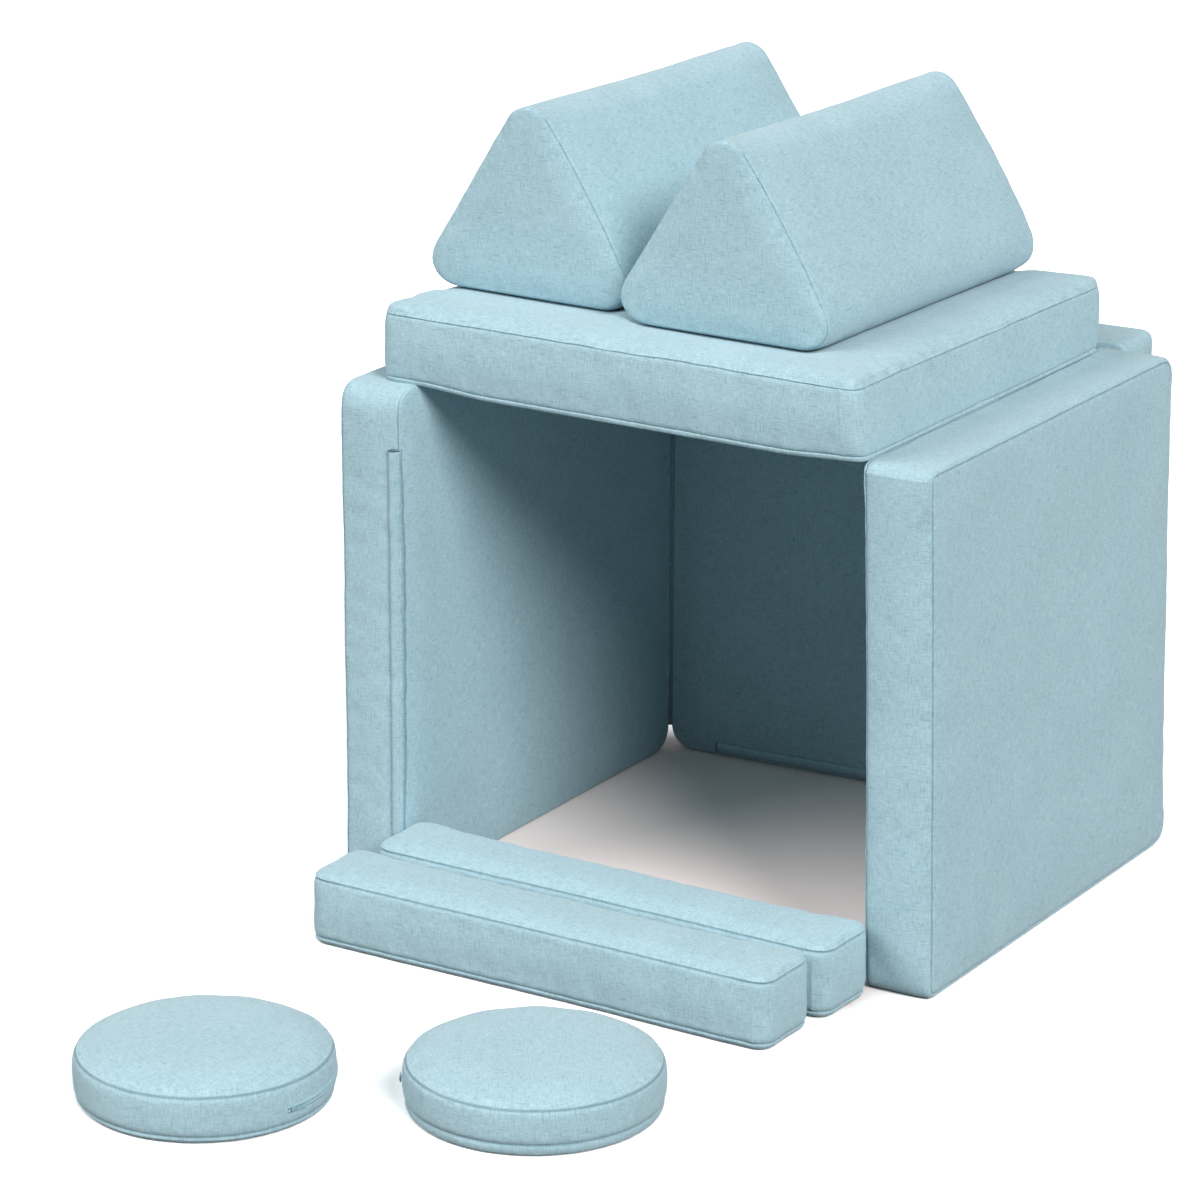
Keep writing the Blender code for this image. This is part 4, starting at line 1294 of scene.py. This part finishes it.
def roll_ends(cover, size):
    """Rolls a bolster's base up a little toward both ends, so that their edges stand clear."""
    for vertex in cover.data.vertices:
        near = 1 - ramp(min(vertex.co.z, size.length - vertex.co.z), 0.0, ROLLED_END)
        low = 1 - ramp(vertex.co.y, 0.0, ROLLED_HEIGHT)
        vertex.co.y += size.roll * near * low


class SOFA_OT_bolsters(bpy.types.Operator):
    """Builds the two triangular bolsters"""
    bl_idname = "sofa.bolsters"
    bl_label = "Bolsters"

    def execute(self, context):
        size, cloth = context.scene.play_sofa.bolsters, context.scene.play_sofa.cloth
        outline = rounded_triangle(size.base, size.angle, size.corner, size.bow)
        seam = size.rim * SEAM_ON_RIM
        covers = []
        for piece in ("left_bolster", "right_bolster"):
            skin = cover_shell(outline, size.length, BOLSTER_GRID, BOLSTER_CELL,
                               (size.rim, size.rim), (seam, seam), size.swell)
            covers.append(cover_object(piece, skin, lambda p: p.y < BOLSTER_FOOT))
        puff(covers, size.puff)
        half, rise = size.base / 4, size.base / 4 * math.tan(size.angle)
        track = straight_track(Vector((half, rise, BOLSTER_ZIP_MARGIN)),
                               Vector((half, rise, size.length - BOLSTER_ZIP_MARGIN)),
                               Vector((-math.sin(size.angle), math.cos(size.angle), 0.0)),
                               BOLSTER_ZIP_STEPS)
        for cover in covers:
            piece = piece_of(cover)
            pucker(cover, amount=0.0010, axis=1, flat=BOLSTER_FOOT)
            sew(cover, cloth)
            roll_ends(cover, size)
            dress(cover, piece, cloth)
            lipped_zip(piece, cover, track, cloth, cloth.lip_width, cloth.zip_mouth)
        return {"FINISHED"}


class SOFA_OT_discs(bpy.types.Operator):
    """Builds the two round discs"""
    bl_idname = "sofa.discs"
    bl_label = "Discs"

    def execute(self, context):
        size, cloth = context.scene.play_sofa.discs, context.scene.play_sofa.cloth
        # The lower seam's height, the way the zip runs round, and its mouth
        shapes = {"left_disc": (size.left_base_seam, 1, size.left_mouth),
                  "right_disc": (size.right_base_seam, -1, size.right_mouth)}
        covers = []
        for piece, (base_seam, _, _) in shapes.items():
            skin = cover_shell(circle(size.radius), size.thickness, DISC_GRID, DISC_CELL,
                               (size.base_rim, size.rim), (base_seam, size.seam_drop),
                               size.swell)
            covers.append(cover_object(piece, skin, lambda p: p.z < FLAT_BASE))
        puff(covers, size.puff)
        for cover in covers:
            piece = piece_of(cover)
            relax(cover, size.thickness - size.seam_drop, DISC_SMOOTHINGS)
            pucker(cover, amount=0.0004, axis=2, flat=FLAT_BASE)
            sew(cover, cloth)
            dress(cover, piece, cloth)
            _, way, mouth = shapes[piece]
            track = round_track(size.radius, size.zip_height, way * size.zip_sweep,
                                DISC_ZIP_STEPS)
            lipped_zip(piece, cover, track, cloth, size.lip_width, mouth)
        return {"FINISHED"}


class SOFA_OT_fold(bpy.types.Operator):
    """Builds the sewn edge that the two folding panels turn on"""
    bl_idname = "sofa.fold"
    bl_label = "Fold seam"

    def execute(self, context):
        sofa = context.scene.play_sofa
        size = sofa.panels
        low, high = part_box("fold_seam")
        centre = (low + high) / 2
        foot, top = size.fold_foot, size.side - size.fold_corner
        centre.z = (foot + top) / 2
        skin = bmesh.new()
        bmesh.ops.create_cone(skin, cap_ends=True, segments=16, radius1=size.welt,
                              radius2=size.welt, depth=top - foot)
        bmesh.ops.translate(skin, verts=list(skin.verts), vec=centre)
        # Painted shade: the whole welt is painted dark with the seam shade, standing in for the
        # shade in the fold
        seam = skin.verts.layers.float.new("seam")
        for vertex in skin.verts:
            vertex[seam] = 1.0
        skin.loops.layers.uv.new("weave")
        cord = make_object("fold_welt", skin)
        for loop in cord.data.loops:
            spot = cord.data.vertices[loop.vertex_index].co
            cord.data.uv_layers["weave"].data[loop.index].uv = (spot.x + spot.y, spot.z)
        cord.data.materials.append(cloth_material(sofa.cloth))
        cord.data.shade_smooth()
        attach(cord, "left_panel")
        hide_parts("fold_seam")
        return {"FINISHED"}


class SOFA_OT_stage(bpy.types.Operator):
    """Builds the floor, the light and the camera"""
    bl_idname = "sofa.stage"
    bl_label = "Stage"

    def execute(self, context):
        scene, stage = context.scene, context.scene.play_sofa.stage
        scene.view_settings.view_transform = "Standard"
        skin = bmesh.new()
        bmesh.ops.create_grid(skin, x_segments=1, y_segments=1, size=FLOOR_SIZE)
        floor = make_object("paper_floor", skin)
        floor.location.z = -FLOOR_DROP
        floor.data.materials.append(floor_material(stage))
        world = bpy.data.worlds.new("studio")
        scene.world = world
        world.use_nodes = True
        tree = world.node_tree
        white = (1, 1, 1, 1)
        sky = node(tree, "ShaderNodeBackground", Color=white, Strength=stage.sky)
        behind = node(tree, "ShaderNodeBackground", Color=white, Strength=1.0)
        mixed = node(tree, "ShaderNodeMixShader", _0=seen_directly(tree), _1=sky, _2=behind)
        tree.links.new(mixed.outputs[0], tree.nodes["World Output"].inputs["Surface"])
        for name, strength, azimuth, height, spread in (
                ("left_lamp", stage.left_lamp, -45, 40, 40),
                ("right_lamp", stage.right_lamp, 60, 35, 25)):
            lamp = bpy.data.lights.new(name, "SUN")
            lamp.energy, lamp.angle = strength, math.radians(spread)
            away = bearing(azimuth, height)
            stand(name, lamp, away * LAMP_DISTANCE, away)
        data = bpy.data.cameras.new("camera")
        data.lens, data.sensor_width = CAMERA_LENS, CAMERA_SENSOR
        data.clip_start, data.clip_end = 0.1, 100.0
        scene.camera = stand("camera", data, CAMERA_PLACE, bearing(*CAMERA_BEARING), CAMERA_ROLL)
        return {"FINISHED"}


def bearing(azimuth, height):
    """The direction from the sofa at angles in degrees round from the front and upward."""
    side, up = math.radians(azimuth), math.radians(height)
    return Vector((math.sin(side) * math.cos(up), -math.cos(side) * math.cos(up), math.sin(up)))


def stand(name, data, place, back, roll=0.0):
    """Puts a lamp or the camera in its place, with its back in a given direction."""
    holder = bpy.data.objects.new(name, data)
    bpy.context.scene.collection.objects.link(holder)
    holder.location = place
    holder.rotation_mode = "QUATERNION"
    turn = Quaternion((0, 0, 1), math.radians(roll))
    holder.rotation_quaternion = back.to_track_quat("Z", "Y") @ turn
    return holder


class SOFA_PT_sidebar(bpy.types.Panel):
    """Lists the sofa's operators and settings"""
    bl_idname = "SOFA_PT_sidebar"
    bl_label = "Play sofa"
    bl_space_type = "VIEW_3D"
    bl_region_type = "UI"
    bl_category = "Play sofa"

    def draw(self, context):
        layout = self.layout
        for operator in OPERATORS:
            layout.operator(operator.bl_idname)
        sofa = context.scene.play_sofa
        for group in (sofa.cloth, sofa.panels, sofa.roof, sofa.bolsters, sofa.bars, sofa.discs,
                      sofa.stage):
            box = layout.box()
            for name in group.bl_rna.properties.keys():
                if name not in ("name", "rna_type"):
                    box.prop(group, name)


OPERATORS = (SOFA_OT_panels, SOFA_OT_roof, SOFA_OT_bolsters, SOFA_OT_bars, SOFA_OT_discs,
             SOFA_OT_fold, SOFA_OT_stage)
CLASSES = (ClothSettings, PanelSettings, RoofSettings, BolsterSettings, BarSettings, DiscSettings,
           StageSettings, SofaSettings, *OPERATORS, SOFA_PT_sidebar)


def register():
    for item in CLASSES:
        bpy.utils.register_class(item)
    bpy.types.Scene.play_sofa = PointerProperty(type=SofaSettings)


def unregister():
    del bpy.types.Scene.play_sofa
    for item in reversed(CLASSES):
        bpy.utils.unregister_class(item)


def main():
    register()
    for operator in (bpy.ops.sofa.panels, bpy.ops.sofa.roof, bpy.ops.sofa.bolsters,
                     bpy.ops.sofa.bars, bpy.ops.sofa.discs, bpy.ops.sofa.fold,
                     bpy.ops.sofa.stage):
        operator()


if __name__ == "__main__":
    main()
